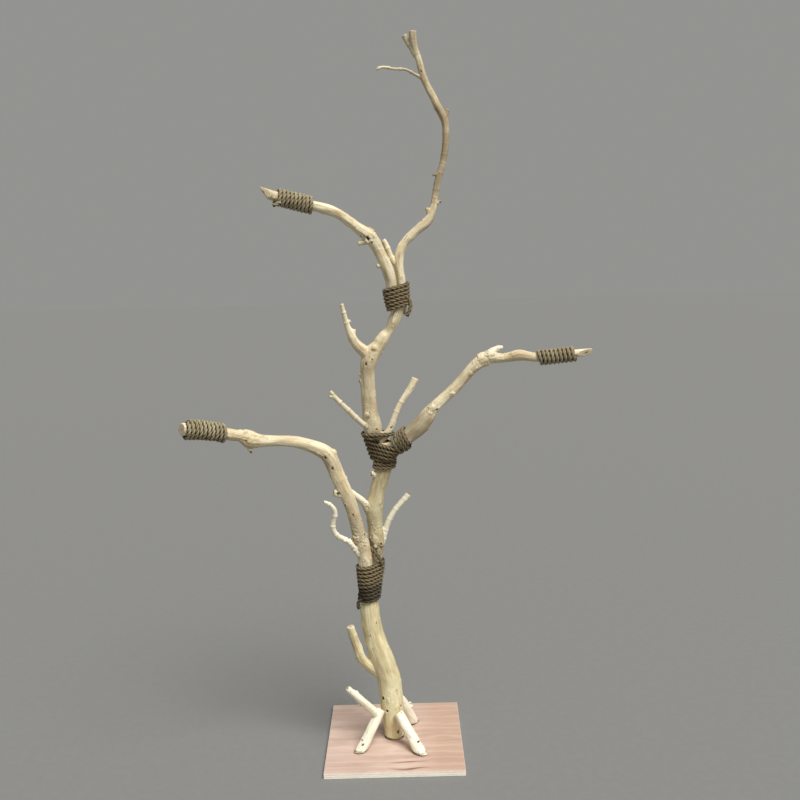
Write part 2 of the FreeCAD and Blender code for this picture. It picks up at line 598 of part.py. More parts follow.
# ---------------------------------------------------------------- the kept sub-parts
nodes = [base_board]
for name, shape in list(sticks_in_place.items()) + list(ropes_in_place.items()):
    body = doc.addObject("Part::Feature", name)
    if len(shape.Solids) == 1:
        shape = shape.Solids[0]
    body.Shape = shape
    body.Label = name
    nodes.append(body)

nodes += [
    fastener_group("trunk_base_screws", lag_screws),
    fastener_group("brace_foot_screws", foot_screws),
    fastener_group("brace_head_screws", head_screws),
    fastener_group("trunk_dowel", [dowel]),
    fastener_group("lower_joint_screws", lower_joint_screws),
    fastener_group("middle_joint_screws", middle_joint_screws),
    fastener_group("upper_joint_screws", upper_joint_screws),
    fastener_group("spur_screw", [spur_screw]),
    fastener_group("rope_end_nails", rope_nails),
]
doc.recompute()

# ---------------------------------------------------------------- checks and export
for item in doc.Objects:
    if "Invalid" in item.State or "Error" in item.State:
        raise RuntimeError("%s did not compute: %s" % (item.Name, item.State))
for node in nodes:
    if node.Shape.isNull() or not node.Shape.isValid():
        raise RuntimeError("%s has no valid shape" % node.Label)
    print("%-26s solids %2d  volume %9.0f mm3" % (node.Label, len(node.Shape.Solids),
                                                 node.Shape.Volume))

os.makedirs("parts", exist_ok=True)
for node in nodes:
    node.Shape.exportStep(os.path.join("parts", node.Label + ".step"))
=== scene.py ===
import math

import bmesh
import bpy
import numpy as np
from mathutils import Matrix, Vector


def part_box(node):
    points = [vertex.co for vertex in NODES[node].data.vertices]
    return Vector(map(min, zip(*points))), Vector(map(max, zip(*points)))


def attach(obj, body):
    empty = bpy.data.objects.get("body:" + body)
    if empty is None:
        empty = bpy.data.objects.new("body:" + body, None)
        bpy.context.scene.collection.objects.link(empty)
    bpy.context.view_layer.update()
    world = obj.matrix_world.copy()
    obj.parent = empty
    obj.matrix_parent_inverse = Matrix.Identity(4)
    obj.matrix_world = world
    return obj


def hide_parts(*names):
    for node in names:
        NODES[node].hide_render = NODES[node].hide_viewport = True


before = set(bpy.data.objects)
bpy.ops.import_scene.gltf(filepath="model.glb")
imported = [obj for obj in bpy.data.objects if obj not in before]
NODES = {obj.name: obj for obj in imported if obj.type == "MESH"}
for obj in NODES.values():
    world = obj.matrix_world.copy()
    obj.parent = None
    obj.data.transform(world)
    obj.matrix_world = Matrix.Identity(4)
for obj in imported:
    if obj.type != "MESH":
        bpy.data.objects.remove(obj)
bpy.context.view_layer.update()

MM = 0.001

# ---- sticks
def stick(text):
    """Stations of one stick's heart, as in the part's source: x y z and diameter in mm."""
    return np.array(text.replace(",", " ").split(), dtype=float).reshape(-1, 4)


LOWER_TRUNK = stick("""
    -1 0 5 60, -1 0 40 61, -3 0 80 65, -7 0 125 70, -10 0 170 70, -17 0 218 68, -30 0 258 68,
    -43 0 302 64, -56 0 350 60, -62 0 395 57, -64 1 430 54, -63 2 460 49, -55 6 505 47,
    -44 10 560 44
""")
LOWER_TRUNK_STUB = stick("""
    -25 0 210 34, -45 -2 224 36, -64 -8 240 31, -80 -14 257 27, -92 -18 277 27, -100 -20 300 28,
    -110 -22 333 26, -121 -25 377 22
""")
FRONT_LEFT_BRACE = stick("""
    -108 -90 2 33, -101 -85 16 32, -85 -72 41 31, -70 -58 66 31, -57 -46 87 30, -46 -35 105 29,
    -39 -28 116 26
""")
FRONT_LEFT_TWIG = stick("""
    -46 -38 100 25, -62 -45 121 24, -82 -52 145 23, -101 -60 168 22, -118 -66 188 18,
    -133 -72 207 15
""")
FRONT_RIGHT_BRACE = stick("""
    86 -113 -2 35, 79 -106 9 35, 70 -97 23 35, 58 -84 41 33, 45 -70 60 32, 30 -56 82 32,
    18 -44 101 32, 12 -39 110 29
""")
REAR_RIGHT_BRACE = stick("""
    60 90 2 31, 53 78 17 31, 45 62 43 31, 36 47 72 30, 26 32 102 28, 14 18 126 25
""")
REAR_RIGHT_STUB = stick("34 46 72 15, 44 48 83 13, 51 48 92 11")
MIDDLE_TRUNK = stick("""
    -45 11 530 40, -43 12 555 38, -40 12 580 39, -37 12 612 43, -39 10 656 42, -41 8 690 45,
    -40 6 718 51, -35 4 748 46, -29 4 778 43, -21 4 808 45, -12 4 836 48, -5 4 862 46,
    0 2 892 43, 4 0 935 40
""")
MIDDLE_SPUR = stick("-44 4 698 28, -57 0 718 23, -68 -6 742 20, -90 -14 766 18, -114 -26 790 17")
MIDDLE_TWIG = stick("""
    -28 12 596 14, -20 14 616 14, -13 16 641 15, -6 18 668 18, 7 20 694 18, 25 24 719 16,
    44 28 739 16, 60 32 756 19
""")
MIDDLE_STUB = stick("-22 0 818 20, -36 -8 827 15, -46 -15 833 12")
LEFT_ARM = stick("""
    -64 -10 440 24, -66 -14 468 30, -68 -18 500 36, -69 -20 540 39, -71 -21 575 41,
    -76 -24 612 41, -87 -30 670 39, -101 -36 729 37, -111 -38 762 38, -123 -40 792 41,
    -135 -42 822 42, -147 -44 856 41, -157 -46 884 42, -170 -48 903 42, -190 -51 916 39,
    -215 -54 927 36, -245 -58 937 33, -300 -67 946 29, -330 -72 947 32, -355 -76 949 40,
    -376 -82 954 50, -391 -88 962 39, -406 -96 968 31, -428 -107 975 32, -462 -128 988 31,
    -498 -152 998 33, -553 -196 1009 35
""")
LEFT_ARM_KNOB = stick("-118 -40 780 30, -138 -44 785 28, -153 -47 787 22")
LEFT_ARM_NODE_STUB = stick("-376 -82 952 22, -378 -84 932 15, -373 -85 916 9")
LEFT_ARM_TWIG = stick("""
    -74 -26 590 18, -93 -36 604 14, -106 -46 630 13, -128 -54 651 13, -150 -60 669 14,
    -157 -62 688 14, -154 -64 712 13, -149 -67 736 13, -157 -70 752 11, -168 -72 764 10,
    -180 -74 768 8
""")
UPPER_TRUNK = stick("""
    -20 22 860 30, -25 21 880 36, -31 19 910 43, -36 16 938 50, -38 13 960 54, -41 10 985 50,
    -44 8 1014 44, -46 5 1060 43, -47 4 1100 42, -46 2 1130 43, -42 0 1155 48, -32 0 1177 49,
    -18 0 1193 40, -6 0 1210 36, 21 0 1252 36, 35 0 1275 35, 44 0 1297 33, 48 -1 1330 29,
    48 -1 1360 26
""")
UPPER_LEFT_TWIG = stick("""
    -44 0 1165 38, -57 -6 1186 33, -71 -10 1200 28, -83 -14 1217 25, -91 -17 1236 22,
    -97 -19 1253 17, -102 -22 1272 14, -107 -25 1295 12, -112 -28 1320 11
""")
UPPER_LEFT_TWIG_STUB = stick("-87 -15 1222 18, -82 -12 1248 14")
UPPER_LEFT_BRANCHLET = stick("-102 -21 1271 9, -86 -18 1270 6")
LOW_LEFT_TWIG = stick("""
    -40 6 955 22, -56 -6 970 17, -72 -14 984 16, -99 -22 1014 16, -126 -30 1043 14,
    -142 -34 1063 11, -152 -37 1078 9
""")
LOW_LEFT_TWIG_FORK = stick("-143 -34 1058 9, -156 -38 1063 8")
LOW_RIGHT_TWIG = stick("""
    -22 10 922 28, -6 8 936 25, 8 7 950 21, 20 10 974 19, 28 13 997 17, 37 16 1016 16,
    49 20 1036 16, 64 24 1056 19, 78 28 1077 21, 90 32 1098 24
""")
RIGHT_ARM = stick("""
    0 -20 876 22, 12 -25 896 30, 29 -31 915 37, 51 -38 934 41, 73 -43 951 43, 96 -49 972 48,
    115 -54 996 44, 129 -57 1016 37, 141 -59 1030 32, 170 -60 1056 29, 197 -60 1081 30,
    225 -60 1111 30, 246 -60 1134 31, 268 -61 1152 36, 291 -62 1163 38, 308 -63 1162 30,
    325 -65 1160 24, 348 -68 1163 26, 376 -72 1168 30, 400 -75 1164 26, 420 -78 1160 22,
    457 -84 1163 22, 500 -90 1168 22, 540 -97 1172 21, 585 -104 1176 21
""")
RIGHT_ARM_SHELF = stick("288 -62 1166 26, 302 -62 1181 16, 317 -62 1188 10, 332 -62 1191 6")
UPPER_LEFT_ARM = stick("""
    35 -5 1285 18, 31 -7 1309 24, 27 -9 1342 30, 26 -10 1378 32, 19 -13 1408 33, 7 -16 1437 31,
    -6 -20 1465 31, -22 -25 1494 36, -45 -30 1514 33, -67 -34 1531 29, -88 -38 1548 27,
    -106 -42 1561 27, -132 -48 1573 29, -166 -56 1583 27, -211 -66 1595 27, -249 -75 1605 27,
    -290 -85 1617 26, -338 -96 1640 25
""")
UPPER_LEFT_ARM_STUB = stick("-22 -25 1493 22, -44 -28 1487 14, -60 -31 1482 11")
UPPER_LEFT_ARM_NUB = stick("14 -14 1422 16, -12 -20 1421 10")
CROWN_BRANCH = stick("""
    57 6 1283 18, 58 8 1309 23, 57 9 1342 27, 55 10 1377 28, 52 11 1403 26, 51 12 1432 26,
    55 13 1458 26, 65 14 1478 24, 89 15 1503 25, 112 16 1522 25, 130 18 1537 27, 143 19 1556 22,
    150 20 1575 19, 155 22 1600 18, 160 24 1628 18, 169 27 1664 17, 181 30 1706 18,
    188 33 1750 19, 190 36 1790 19, 186 38 1816 21, 174 40 1841 21, 155 43 1880 19,
    136 46 1920 19, 126 48 1952 19, 120 50 1978 19, 112 50 2003 17, 106 48 2028 20,
    105 46 2053 19
""")
CROWN_LEFT_PRONG = stick("121 50 1976 17, 101 54 2009 14, 89 58 2030 14, 81 60 2045 13")
CROWN_CUT_STUB = stick("52 12 1420 22, 36 14 1432 18, 22 15 1462 15, 8 16 1492 14")
CROWN_STUBS = [
    stick("186 38 1810 15, 196 38 1842 10"),
    stick("167 27 1668 9, 150 25 1666 7"),
    stick("153 22 1584 9, 173 20 1594 6"),
    stick("130 18 1535 15, 116 14 1542 9"),
    stick("142 19 1552 13, 133 16 1576 8"),
]
CROWN_TWIG = stick("""
    130 47 1926 10, 111 44 1937 8, 98 42 1944 7, 81 40 1951 7, 54 36 1952 7, 13 30 1955 7,
    4 28 1949 6
""")

# Sticks of each wooden piece: the main one first, then its side growth.
WOOD = {
    "lower_trunk": [LOWER_TRUNK, LOWER_TRUNK_STUB],
    "front_left_brace": [FRONT_LEFT_BRACE, FRONT_LEFT_TWIG],
    "front_right_brace": [FRONT_RIGHT_BRACE],
    "rear_right_brace": [REAR_RIGHT_BRACE, REAR_RIGHT_STUB],
    "middle_trunk": [MIDDLE_TRUNK, MIDDLE_SPUR, MIDDLE_TWIG, MIDDLE_STUB],
    "left_arm": [LEFT_ARM, LEFT_ARM_KNOB, LEFT_ARM_NODE_STUB, LEFT_ARM_TWIG],
    "upper_trunk": [UPPER_TRUNK, UPPER_LEFT_TWIG, UPPER_LEFT_TWIG_STUB,
                    UPPER_LEFT_BRANCHLET, LOW_LEFT_TWIG, LOW_LEFT_TWIG_FORK, LOW_RIGHT_TWIG],
    "right_arm": [RIGHT_ARM, RIGHT_ARM_SHELF],
    "upper_left_arm": [UPPER_LEFT_ARM, UPPER_LEFT_ARM_STUB, UPPER_LEFT_ARM_NUB],
    "crown_branch": [CROWN_BRANCH, CROWN_LEFT_PRONG, CROWN_CUT_STUB, CROWN_TWIG] + CROWN_STUBS,
}


# ---- numeric noise
NOISE_TABLE = np.random.default_rng(20).random(65536) * 2 - 1


def value_noise(points, seed=0):
    """Smooth noise from -1 to 1 at points, one cell per unit."""
    cell = np.floor(points).astype(np.int64)
    part = points - cell
    part = part * part * (3 - 2 * part)
    total = np.zeros(len(points))
    for corner in range(8):
        step = np.array([corner & 1, corner >> 1 & 1, corner >> 2 & 1])
        at = cell + step
        key = (at[:, 0] * 73856093) ^ (at[:, 1] * 19349663) ^ (at[:, 2] * 83492791)
        key = (key ^ (seed * 7919)) & 65535
        weight = np.prod(np.where(step == 1, part, 1 - part), axis=1)
        total += NOISE_TABLE[key] * weight
    return total


def smooth_step(value, low, high):
    t = np.clip((value - low) / (high - low), 0, 1)
    return t * t * (3 - 2 * t)


# ---- mesh helpers
def new_object(name, data):
    obj = bpy.data.objects.new(name, data)
    bpy.context.scene.collection.objects.link(obj)
    return obj


def mesh_object(name, points, faces, smooth=True):
    mesh = bpy.data.meshes.new(name)
    mesh.from_pydata([tuple(p) for p in points], [], faces)
    mesh.update()
    if smooth:
        mesh.shade_smooth()
    return new_object(name, mesh)


def place_piece(obj, node, material):
    obj.data.materials.append(material)
    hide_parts(node)
    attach(obj, "root")


def read(items, name, width, kind=float):
    flat = np.empty(len(items) * width, dtype=kind)
    items.foreach_get(name, flat)
    return flat.reshape(-1, width)


def set_coordinates(mesh, points):
    mesh.vertices.foreach_set("co", points.ravel())
    mesh.update()


def edge_pairs(mesh):
    return read(mesh.edges, "vertices", 2, np.int64)


def vertex_normals(mesh):
    return read(mesh.vertex_normals, "vector", 3)


def unit(vector):
    return vector / np.linalg.norm(vector)


def neighbour_mean(values, edges, degree):
    total = np.zeros_like(values)
    np.add.at(total, edges[:, 0], values[edges[:, 1]])
    np.add.at(total, edges[:, 1], values[edges[:, 0]])
    return total / degree[:, None]


def add_attribute(mesh, name, values):
    kind = "FLOAT_VECTOR" if values.ndim == 2 else "FLOAT"
    attribute = mesh.attributes.new(name, kind, "POINT")
    attribute.data.foreach_set("vector" if values.ndim == 2 else "value",
                               np.ascontiguousarray(values, dtype=np.float32).ravel())


# ---- grain coordinates
def stick_frames(stations):
    """Segments of one stick with a side vector carried along without twist."""
    middles = stations[:, :3]
    ways = np.diff(middles, axis=0)
    lengths = np.linalg.norm(ways, axis=1)
    ways = ways / lengths[:, None]
    sides = []
    side = np.array([0.0, 1.0, 0.0])
    for way in ways:
        side = unit(side - way * side.dot(way))
        sides.append(side)
    starts = np.concatenate([[0], np.cumsum(lengths)])
    return middles, ways, lengths, np.array(sides), starts, stations[:, 3] / 2


def nearest_on_stick(points, stations):
    """Clearance from the stick, grain vector, radius, end overshoot and axis at each point."""
    middles, ways, lengths, sides, starts, radii = stick_frames(stations)
    count = len(points)
    best = np.full(count, 1e9)
    grain = np.zeros((count, 3))
    radius = np.zeros(count)
    end = np.zeros(count)
    axis = np.zeros((count, 3))
    last = len(ways) - 1
    for index, way in enumerate(ways):
        rel = points - middles[index]
        along = rel @ way
        inside = np.clip(along, 0, lengths[index])
        part = inside / lengths[index]
        local = radii[index] + (radii[index + 1] - radii[index]) * part
        foot = rel - inside[:, None] * way
        clear = np.linalg.norm(foot, axis=1) - local
        closer = clear < best
        side = sides[index]
        other = np.cross(way, side)
        best = np.where(closer, clear, best)
        here = np.stack([foot @ side, foot @ other, starts[index] + along], axis=1)
        grain[closer] = here[closer]
        radius[closer] = local[closer]
        axis[closer] = way
        reach = np.full(count, 1.0)
        if index == 0:
            reach = np.minimum(reach, along)
        if index == last:
            reach = np.minimum(reach, lengths[index] - along)
        end[closer] = reach[closer]
    return best, grain, radius, end, axis


def grain_of(points, sticks):
    """Grain vector, radius, end overshoot and axis of the nearest stick, in metres."""
    best = None
    for stations in sticks:
        found = nearest_on_stick(points, stations * MM)
        if best is None:
            best = found
            continue
        # side growth carries on the length count of the main stick
        found[1][:, 2] += nearest_on_stick(stations[:1, :3] * MM, sticks[0] * MM)[1][0, 2]
        closer = found[0] < best[0]
        for kept, new in zip(best, found):
            kept[closer] = new[closer]
    return best[1:]


# ---- wood pieces
VOXEL = 0.0019
SMOOTH_PASSES, CROTCH_PASSES, EASE_PASSES, GRAIN_PASSES = 3, 14, 90, 6
CROTCH_HOLLOW = (0.00002, 0.00016)   # inward pull at which a crotch is filled
LUMP_SHARE, LUMP_MOST = 0.10, 0.0017
RIDGE_SHARE, RIDGE_MOST = 0.035, 0.0005
FIBRE_RELIEF = 0.00013
TWIG_RADII = (0.011, 0.0065)         # a stick counts as a twig below these
TWIG_SWELL, TWIG_JOINT_STEP, TWIG_JOINT_RISE = 0.0006, 0.031, 0.0013
PALE_RADII = (0.0125, 0.0085)
RING_WAVES, RING_RELIEF = 2600, 0.00008
VERTICES_PER_SCAR = 1100
SCAR_REACH, SCAR_HEIGHT, SCAR_EYE_CHANCE = (0.0035, 0.009), (0.0006, 0.0019), 0.35
BOARD_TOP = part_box("base_board")[1][2]
FOOT_GAP, FOOT_BAND = 0.0052, 0.009
# Knots, holes and bumps: x, y, z, radius and depth in mm; a bump has a negative depth.
MARKS = [
    (-32, -26, 149, 5, 3), (-21, -31, 111, 4.5, 3), (-17, -34, 148, 9, -3.2),
    (-29, -28, 137, 2, 1), (-27, -29, 131, 1.8, 1), (-25, -30, 124, 2, 1), (21, -21, 121, 4, 2),
    (10, -28, 42, 5, 2), (-129, -25, 361, 4, 2), (-94, -91, 39, 4, 1.8), (-106, -60, 189, 8, -3),
    (-139, -57, 787, 4.5, 2.5), (-96, -43, 647, 15, -8), (-97, -44, 647, 4.5, 1.5),
    (-385, -98, 984, 12, -7), (-171, -67, 893, 5, 2), (-152, -65, 862, 5, 1.8),
    (-374, -90, 919, 5, 2), (-383, -107, 955, 4, 1.2), (-40, -10, 630, 16, -6.5),
    (-23, -10, 622, 4, 3), (-23, -3, 609, 3.5, 3), (-45, -17, 827, 5, 2.5),
    (-58, -11, 738, 9, -3.2), (-50, -22, 1149, 5, 1.8), (-50, -20, 1007, 10, -3.6),
    (-45, -14, 1007, 3.5, 1.5), (15, -2, 962, 3.6, 2.5), (-118, -29, 1044, 4, 1.5),
    (-26, -25, 1194, 8, -2.4), (258, -74, 1133, 8, -2.5), (258, -76, 1133, 3, 1),
    (189, -73, 1065, 8, -2.5), (189, -75, 1065, 3, 1), (145, -73, 1023, 3.6, 1.4),
    (131, -73, 1029, 10, -4), (307, -77, 1165, 4, -1.4), (296, -76, 1176, 15, -6),
    (-33, -43, 1496, 5.6, 5), (-42, -34, 1484, 4, -1.5), (-13, -15, 1421, 5, 2),
    (-23, -29, 1520, 8, -4), (-14, -30, 1510, 7, -3.5), (-60, -29, 1482, 4, 1.5),
    (152, 24, 1670, 4, 2), (169, 17, 1591, 4, 2), (129, 16, 1575, 7, -3), (125, 38, 1945, 4, 1),
]

# Sawn and whittled ends: a point in mm and the normal of each.
CUT_REACH = 70
CUTS = [
    ((-538, -184, 1007), (-0.75, -0.66, 0.05)), ((570, -100, 1176), (0.97, 0, -0.2)),
    ((550, -100, 1172), (0.3, -0.9, -0.25)), ((-299, -88, 1612), (-0.82, -0.1, -0.55)),
    ((-279, -98, 1612), (-0.3, -0.95, 0.05)), ((0, 0, 15), (0, 0, -1)),
]


def remeshed_copy(node, name):
    """Even quad skin over a CAD solid, as a new object."""
    mesh = NODES[node].data.copy()
    obj = new_object(name, mesh)
    modifier = obj.modifiers.new("skin", "REMESH")
    modifier.mode = "VOXEL"
    modifier.voxel_size = VOXEL
    modifier.adaptivity = 0
    graph = bpy.context.evaluated_depsgraph_get()
    skin = bpy.data.meshes.new_from_object(obj.evaluated_get(graph))
    obj.modifiers.clear()
    obj.data = skin
    bpy.data.meshes.remove(mesh)
    skin.name = name
    skin.materials.clear()
    return obj


def keep_outer_shell(obj):
    """Deletes loose inner shells that drilled holes leave behind."""
    mesh = obj.data
    edges = edge_pairs(mesh)
    label = np.arange(len(mesh.vertices))
    while True:
        before = label.copy()
        np.minimum.at(label, edges[:, 0], label[edges[:, 1]])
        np.minimum.at(label, edges[:, 1], label[edges[:, 0]])
        label = label[label]
        if np.array_equal(before, label):
            break
    values, counts = np.unique(label, return_counts=True)
    if len(values) == 1:
        return
    main = values[np.argmax(counts)]
    body = bmesh.new()
    body.from_mesh(mesh)
    body.verts.ensure_lookup_table()
    loose = [body.verts[i] for i in np.nonzero(label != main)[0]]
    bmesh.ops.delete(body, geom=loose, context="VERTS")
    body.to_mesh(mesh)
    body.free()


def relax(points, edges, degree, share):
    return points + share * (neighbour_mean(points, edges, degree) - points)


def near_to(points, place, reach_mm):
    """Distance from a place in mm, as a share of the reach."""
    return np.linalg.norm(points - np.array(place) * MM, axis=1) / (reach_mm * MM)


def sawn_share(points, normals, end, axis):
    """1 on sawn and whittled ends, 0 on the skin."""
    facing = np.abs(np.einsum("ij,ij->i", normals, axis))
    cut = smooth_step(facing, 0.6, 0.8) * smooth_step(end, 0.012, 0.004)
    for place, normal in CUTS:
        normal = unit(np.array(normal))
        off = np.abs((points - np.array(place) * MM) @ normal)
        flat = smooth_step(normals @ normal, 0.8, 0.93)
        flat = flat * smooth_step(off, 0.004, 0.002) * (near_to(points, place, CUT_REACH) < 1)
        cut = np.maximum(cut, flat)
    return cut


def skin_relief(grain, radius, cut, seed):
    """Lumps, ridges, fibres, twig joints and saw rings, as a push along the normal."""
    angle = np.arctan2(grain[:, 1], grain[:, 0])
    round_way = np.stack([np.cos(angle), np.sin(angle), grain[:, 2] / 0.05], axis=1)
    lumps = value_noise(round_way * 1.3 + 31, seed) * 0.7
    lumps += value_noise(round_way * np.array([2.6, 2.6, 2.2]), seed + 1) * 0.5
    ridges = value_noise(np.stack([np.cos(angle) * 7, np.sin(angle) * 7,
                                   grain[:, 2] / 0.06], axis=1), seed + 2)
    fine = value_noise(grain * np.array([330, 330, 24]), seed + 3)
    skin = 1 - cut
    push = (lumps * np.minimum(radius * LUMP_SHARE, LUMP_MOST)
            + ridges * np.minimum(radius * RIDGE_SHARE, RIDGE_MOST) + fine * FIBRE_RELIEF) * skin
    thin = smooth_step(radius, *TWIG_RADII)
    push += TWIG_SWELL * thin * skin
    along = grain[:, 2] / TWIG_JOINT_STEP
    drift = 0.35 * value_noise(np.stack([along * 0.5, along * 0, along * 0 + seed], axis=1), 4)
    joint = np.abs((along + drift) % 1.0 - 0.5)
    push += TWIG_JOINT_RISE * thin * skin * smooth_step(joint, 0.16, 0.0)
    rings = np.linalg.norm(grain[:, :2], axis=1)
    return push + np.sin(rings * RING_WAVES) * RING_RELIEF * cut


def press_marks(points, axis, ragged, push):
    """Adds the MARKS to the push; returns it with how dark each point gets."""
    mark = np.zeros(len(points))
    for x, y, z, reach, depth in MARKS:
        off = points - np.array([x, y, z]) * MM
        off = off - axis * (np.einsum("ij,ij->i", off, axis) * 0.35)[:, None]
        away = np.linalg.norm(off, axis=1) / (reach * MM) * ragged
        pit = smooth_step(away, 1.0, 0.25)
        rim = smooth_step(away, 2.1, 1.2) * smooth_step(away, 0.7, 1.15)
        push -= pit * depth * MM
        push += rim * abs(depth) * 0.22 * MM
        # deeper pits are painted darker: knot wood, and near-black painted shade inside the holes
        mark = np.maximum(mark, pit * (min(0.35 + depth * 0.22, 1) if depth > 0 else 0.12))
    return push, mark


def random_scars(points, skin, ragged, seed, push, mark):
    rng = np.random.default_rng(seed)
    for _ in range(int(len(points) / VERTICES_PER_SCAR)):
        spot = points[rng.integers(len(points))]
        reach = rng.uniform(*SCAR_REACH)
        away = np.linalg.norm((points - spot) * np.array([1, 1, 0.7]), axis=1) / reach * ragged
        high = rng.uniform(*SCAR_HEIGHT)
        push += smooth_step(away, 1.0, 0.1) * high * skin
        if rng.random() < SCAR_EYE_CHANCE:
            eye = smooth_step(away, 0.42, 0.15)
            push -= eye * high * 0.9
            mark = np.maximum(mark, eye * rng.uniform(0.2, 0.7))
    return push, mark


def stand_on_board(points, mark, seed):
    """Lifts the front of a sawn foot off the board and darkens a band round its bottom: bark, and
    painted shade where the foot meets the board.
    """
    foot = points[points[:, 2] < BOARD_TOP + 0.004]
    middle, spread = foot[:, 1].mean(), foot[:, 1].std() * 2
    front = smooth_step((middle - points[:, 1]) / spread, -0.6, 0.9)
    gap = FOOT_GAP * front * (0.8 + 0.35 * value_noise(points / 0.011, seed + 5))
    lifted = np.maximum(points[:, 2], BOARD_TOP + np.maximum(gap, 0.0002))
    points[:, 2] = np.where(points[:, 2] < BOARD_TOP + FOOT_BAND, lifted, points[:, 2])
    # bark and painted shade: a dark band just above the board round the foot
    rim = smooth_step(points[:, 2], BOARD_TOP + 0.0115, BOARD_TOP + 0.0055)
    uneven = 0.42 + 0.45 * value_noise(points / 0.013, seed + 6)
    return np.maximum(mark, rim * np.clip(uneven, 0.1, 0.8))


def wood_piece(node, material, seed, tones=(), pale_twigs=0.75, fuller=0.0,
               eased=()):
    """Puts a grown, peeled stick in the place of a CAD one."""
    obj = remeshed_copy(node, node + "_wood")
    keep_outer_shell(obj)
    mesh = obj.data
    edges = edge_pairs(mesh)
    degree = np.bincount(edges.ravel(), minlength=len(mesh.vertices)).astype(float)
    points = read(mesh.vertices, "co", 3)
    for _ in range(SMOOTH_PASSES):
        points = relax(points, edges, degree, 0.5)
    set_coordinates(mesh, points)
    # crotches and stub roots run into each other as grown wood does
    for _ in range(CROTCH_PASSES):
        pull = neighbour_mean(points, edges, degree) - points
        hollow = np.einsum("ij,ij->i", pull, vertex_normals(mesh))
        points = points + pull * (0.6 * smooth_step(hollow, *CROTCH_HOLLOW))[:, None]
        set_coordinates(mesh, points)
    for x, y, z, reach in eased:
        share = 0.6 * smooth_step(near_to(points, (x, y, z), reach), 1.0, 0.7)[:, None]
        for _ in range(EASE_PASSES):
            points = relax(points, edges, degree, share)
        set_coordinates(mesh, points)
    grain, radius, end, axis = grain_of(points, WOOD[node])
    normals = vertex_normals(mesh)
    cut = sawn_share(points, normals, end, axis)
    for _ in range(GRAIN_PASSES):
        grain = relax(grain, edges, degree, 0.6)
    skin = 1 - cut
    ragged = 1 + 0.5 * value_noise(points / 0.0035, seed + 7)
    ragged += 0.2 * value_noise(points / 0.0015, 3)
    push, mark = press_marks(points, axis, ragged, skin_relief(grain, radius, cut, seed))
    push, mark = random_scars(points, skin, ragged, seed, push, mark)
    points = points + normals * (push + fuller * skin)[:, None]
    if points[:, 2].min() < BOARD_TOP + 0.002:
        mark = stand_on_board(points, mark, seed)
    set_coordinates(mesh, points)
    # painted shade and weathering: the tones darken patches of the piece
    shade = np.zeros(len(points))
    for x, y, z, reach, strength in tones:
        away = near_to(points, (x, y, z), reach)
        shade = np.maximum(shade, smooth_step(away, 1.0, 0.35) * strength)
    for name, values in (("grain", grain), ("cut", cut), ("mark", mark), ("shade", shade),
                         ("pale", smooth_step(radius, *PALE_RADII) * pale_twigs)):
        add_attribute(mesh, name, values)
    mesh.shade_smooth()
    place_piece(obj, node, material)


# ---- rope
ROPE_RADIUS = 0.006
ROPE_LAY = 0.039
STRAND_RADIUS = 0.0034
STRAND_OFFSET = 0.0024
STRAND_TWIST = 0.021
ROPE_OUT = 4.5          # rope heart above the wood, in mm
ROPE_INSET = 6.2        # first and last turn from the ends of a winding, in mm
ROPE_STEP = 0.0025
RING_SIDES = 10
LOOP_POINTS = 128
TAIL_LENGTH = 0.15      # a shorter rope is a tail, seen from the front
FIBRES_PER_METRE = 330
FIBRE_LENGTH, FIBRE_HALF_WIDTH = (0.003, 0.0095), (0.00010, 0.00018)


def crossing(stations, point, normal):
    """Where a stick goes through a plane: heart, direction and radius."""
    rel = (stations[:, :3] - point) @ normal
    for index in range(len(stations) - 1):
        before, after = rel[index], rel[index + 1]
        if before * after <= 0 and before != after:
            part = before / (before - after)
            here = stations[index] + (stations[index + 1] - stations[index]) * part
            way = stations[index + 1, :3] - stations[index, :3]
            return here[:3], unit(way), here[3] / 2
    return None


def taut_outline(sticks, point, normal, gap, count=120):
    """Outline in mm of a loop pulled tight round the sticks in a plane."""
    normal = unit(normal)
    flat = unit(np.array([1.0, 0, 0]) - normal * normal[0])
    other = np.cross(normal, flat)
    turns = np.linspace(0, 2 * math.pi, count, endpoint=False)
    ways = np.cos(turns)[:, None] * flat + np.sin(turns)[:, None] * other
    reach = np.full(count, -1e9)
    outline = np.zeros((count, 3))
    for stations in sticks:
        cut = crossing(stations, point, normal)
        if cut is None:
            continue
        centre, along, radius = cut
        slant = max(abs(along @ normal), 0.35)
        lean = along - normal * (along @ normal)
        size = np.linalg.norm(lean)
        lean = lean / size if size > 1e-6 else flat
        across = np.cross(normal, lean)
        on_lean, on_across = ways @ lean, ways @ across
        root = np.hypot(on_across, on_lean / slant)
        rim = (np.outer(on_across, across) + np.outer(on_lean / slant ** 2, lean))
        rim = rim * (radius / root)[:, None]
        here = ways @ (centre - point) + np.einsum("ij,ij->i", rim, ways)
        closer = here > reach
        reach = np.where(closer, here, reach)
        outline[closer] = (centre + rim + ways * gap)[closer]
    return outline


def even_loop(outline, count):
    """Closed outline resampled to even steps, starting where it lies furthest back."""
    start = int(np.argmax(outline[:, 1]))
    loop = np.roll(outline, -start, axis=0)
    loop = np.vstack([loop, loop[:1]])
    away = np.concatenate([[0], np.cumsum(np.linalg.norm(np.diff(loop, axis=0), axis=1))])
    at = np.linspace(0, away[-1], count, endpoint=False)
    return np.stack([np.interp(at, away, loop[:, k]) for k in range(3)], axis=1)


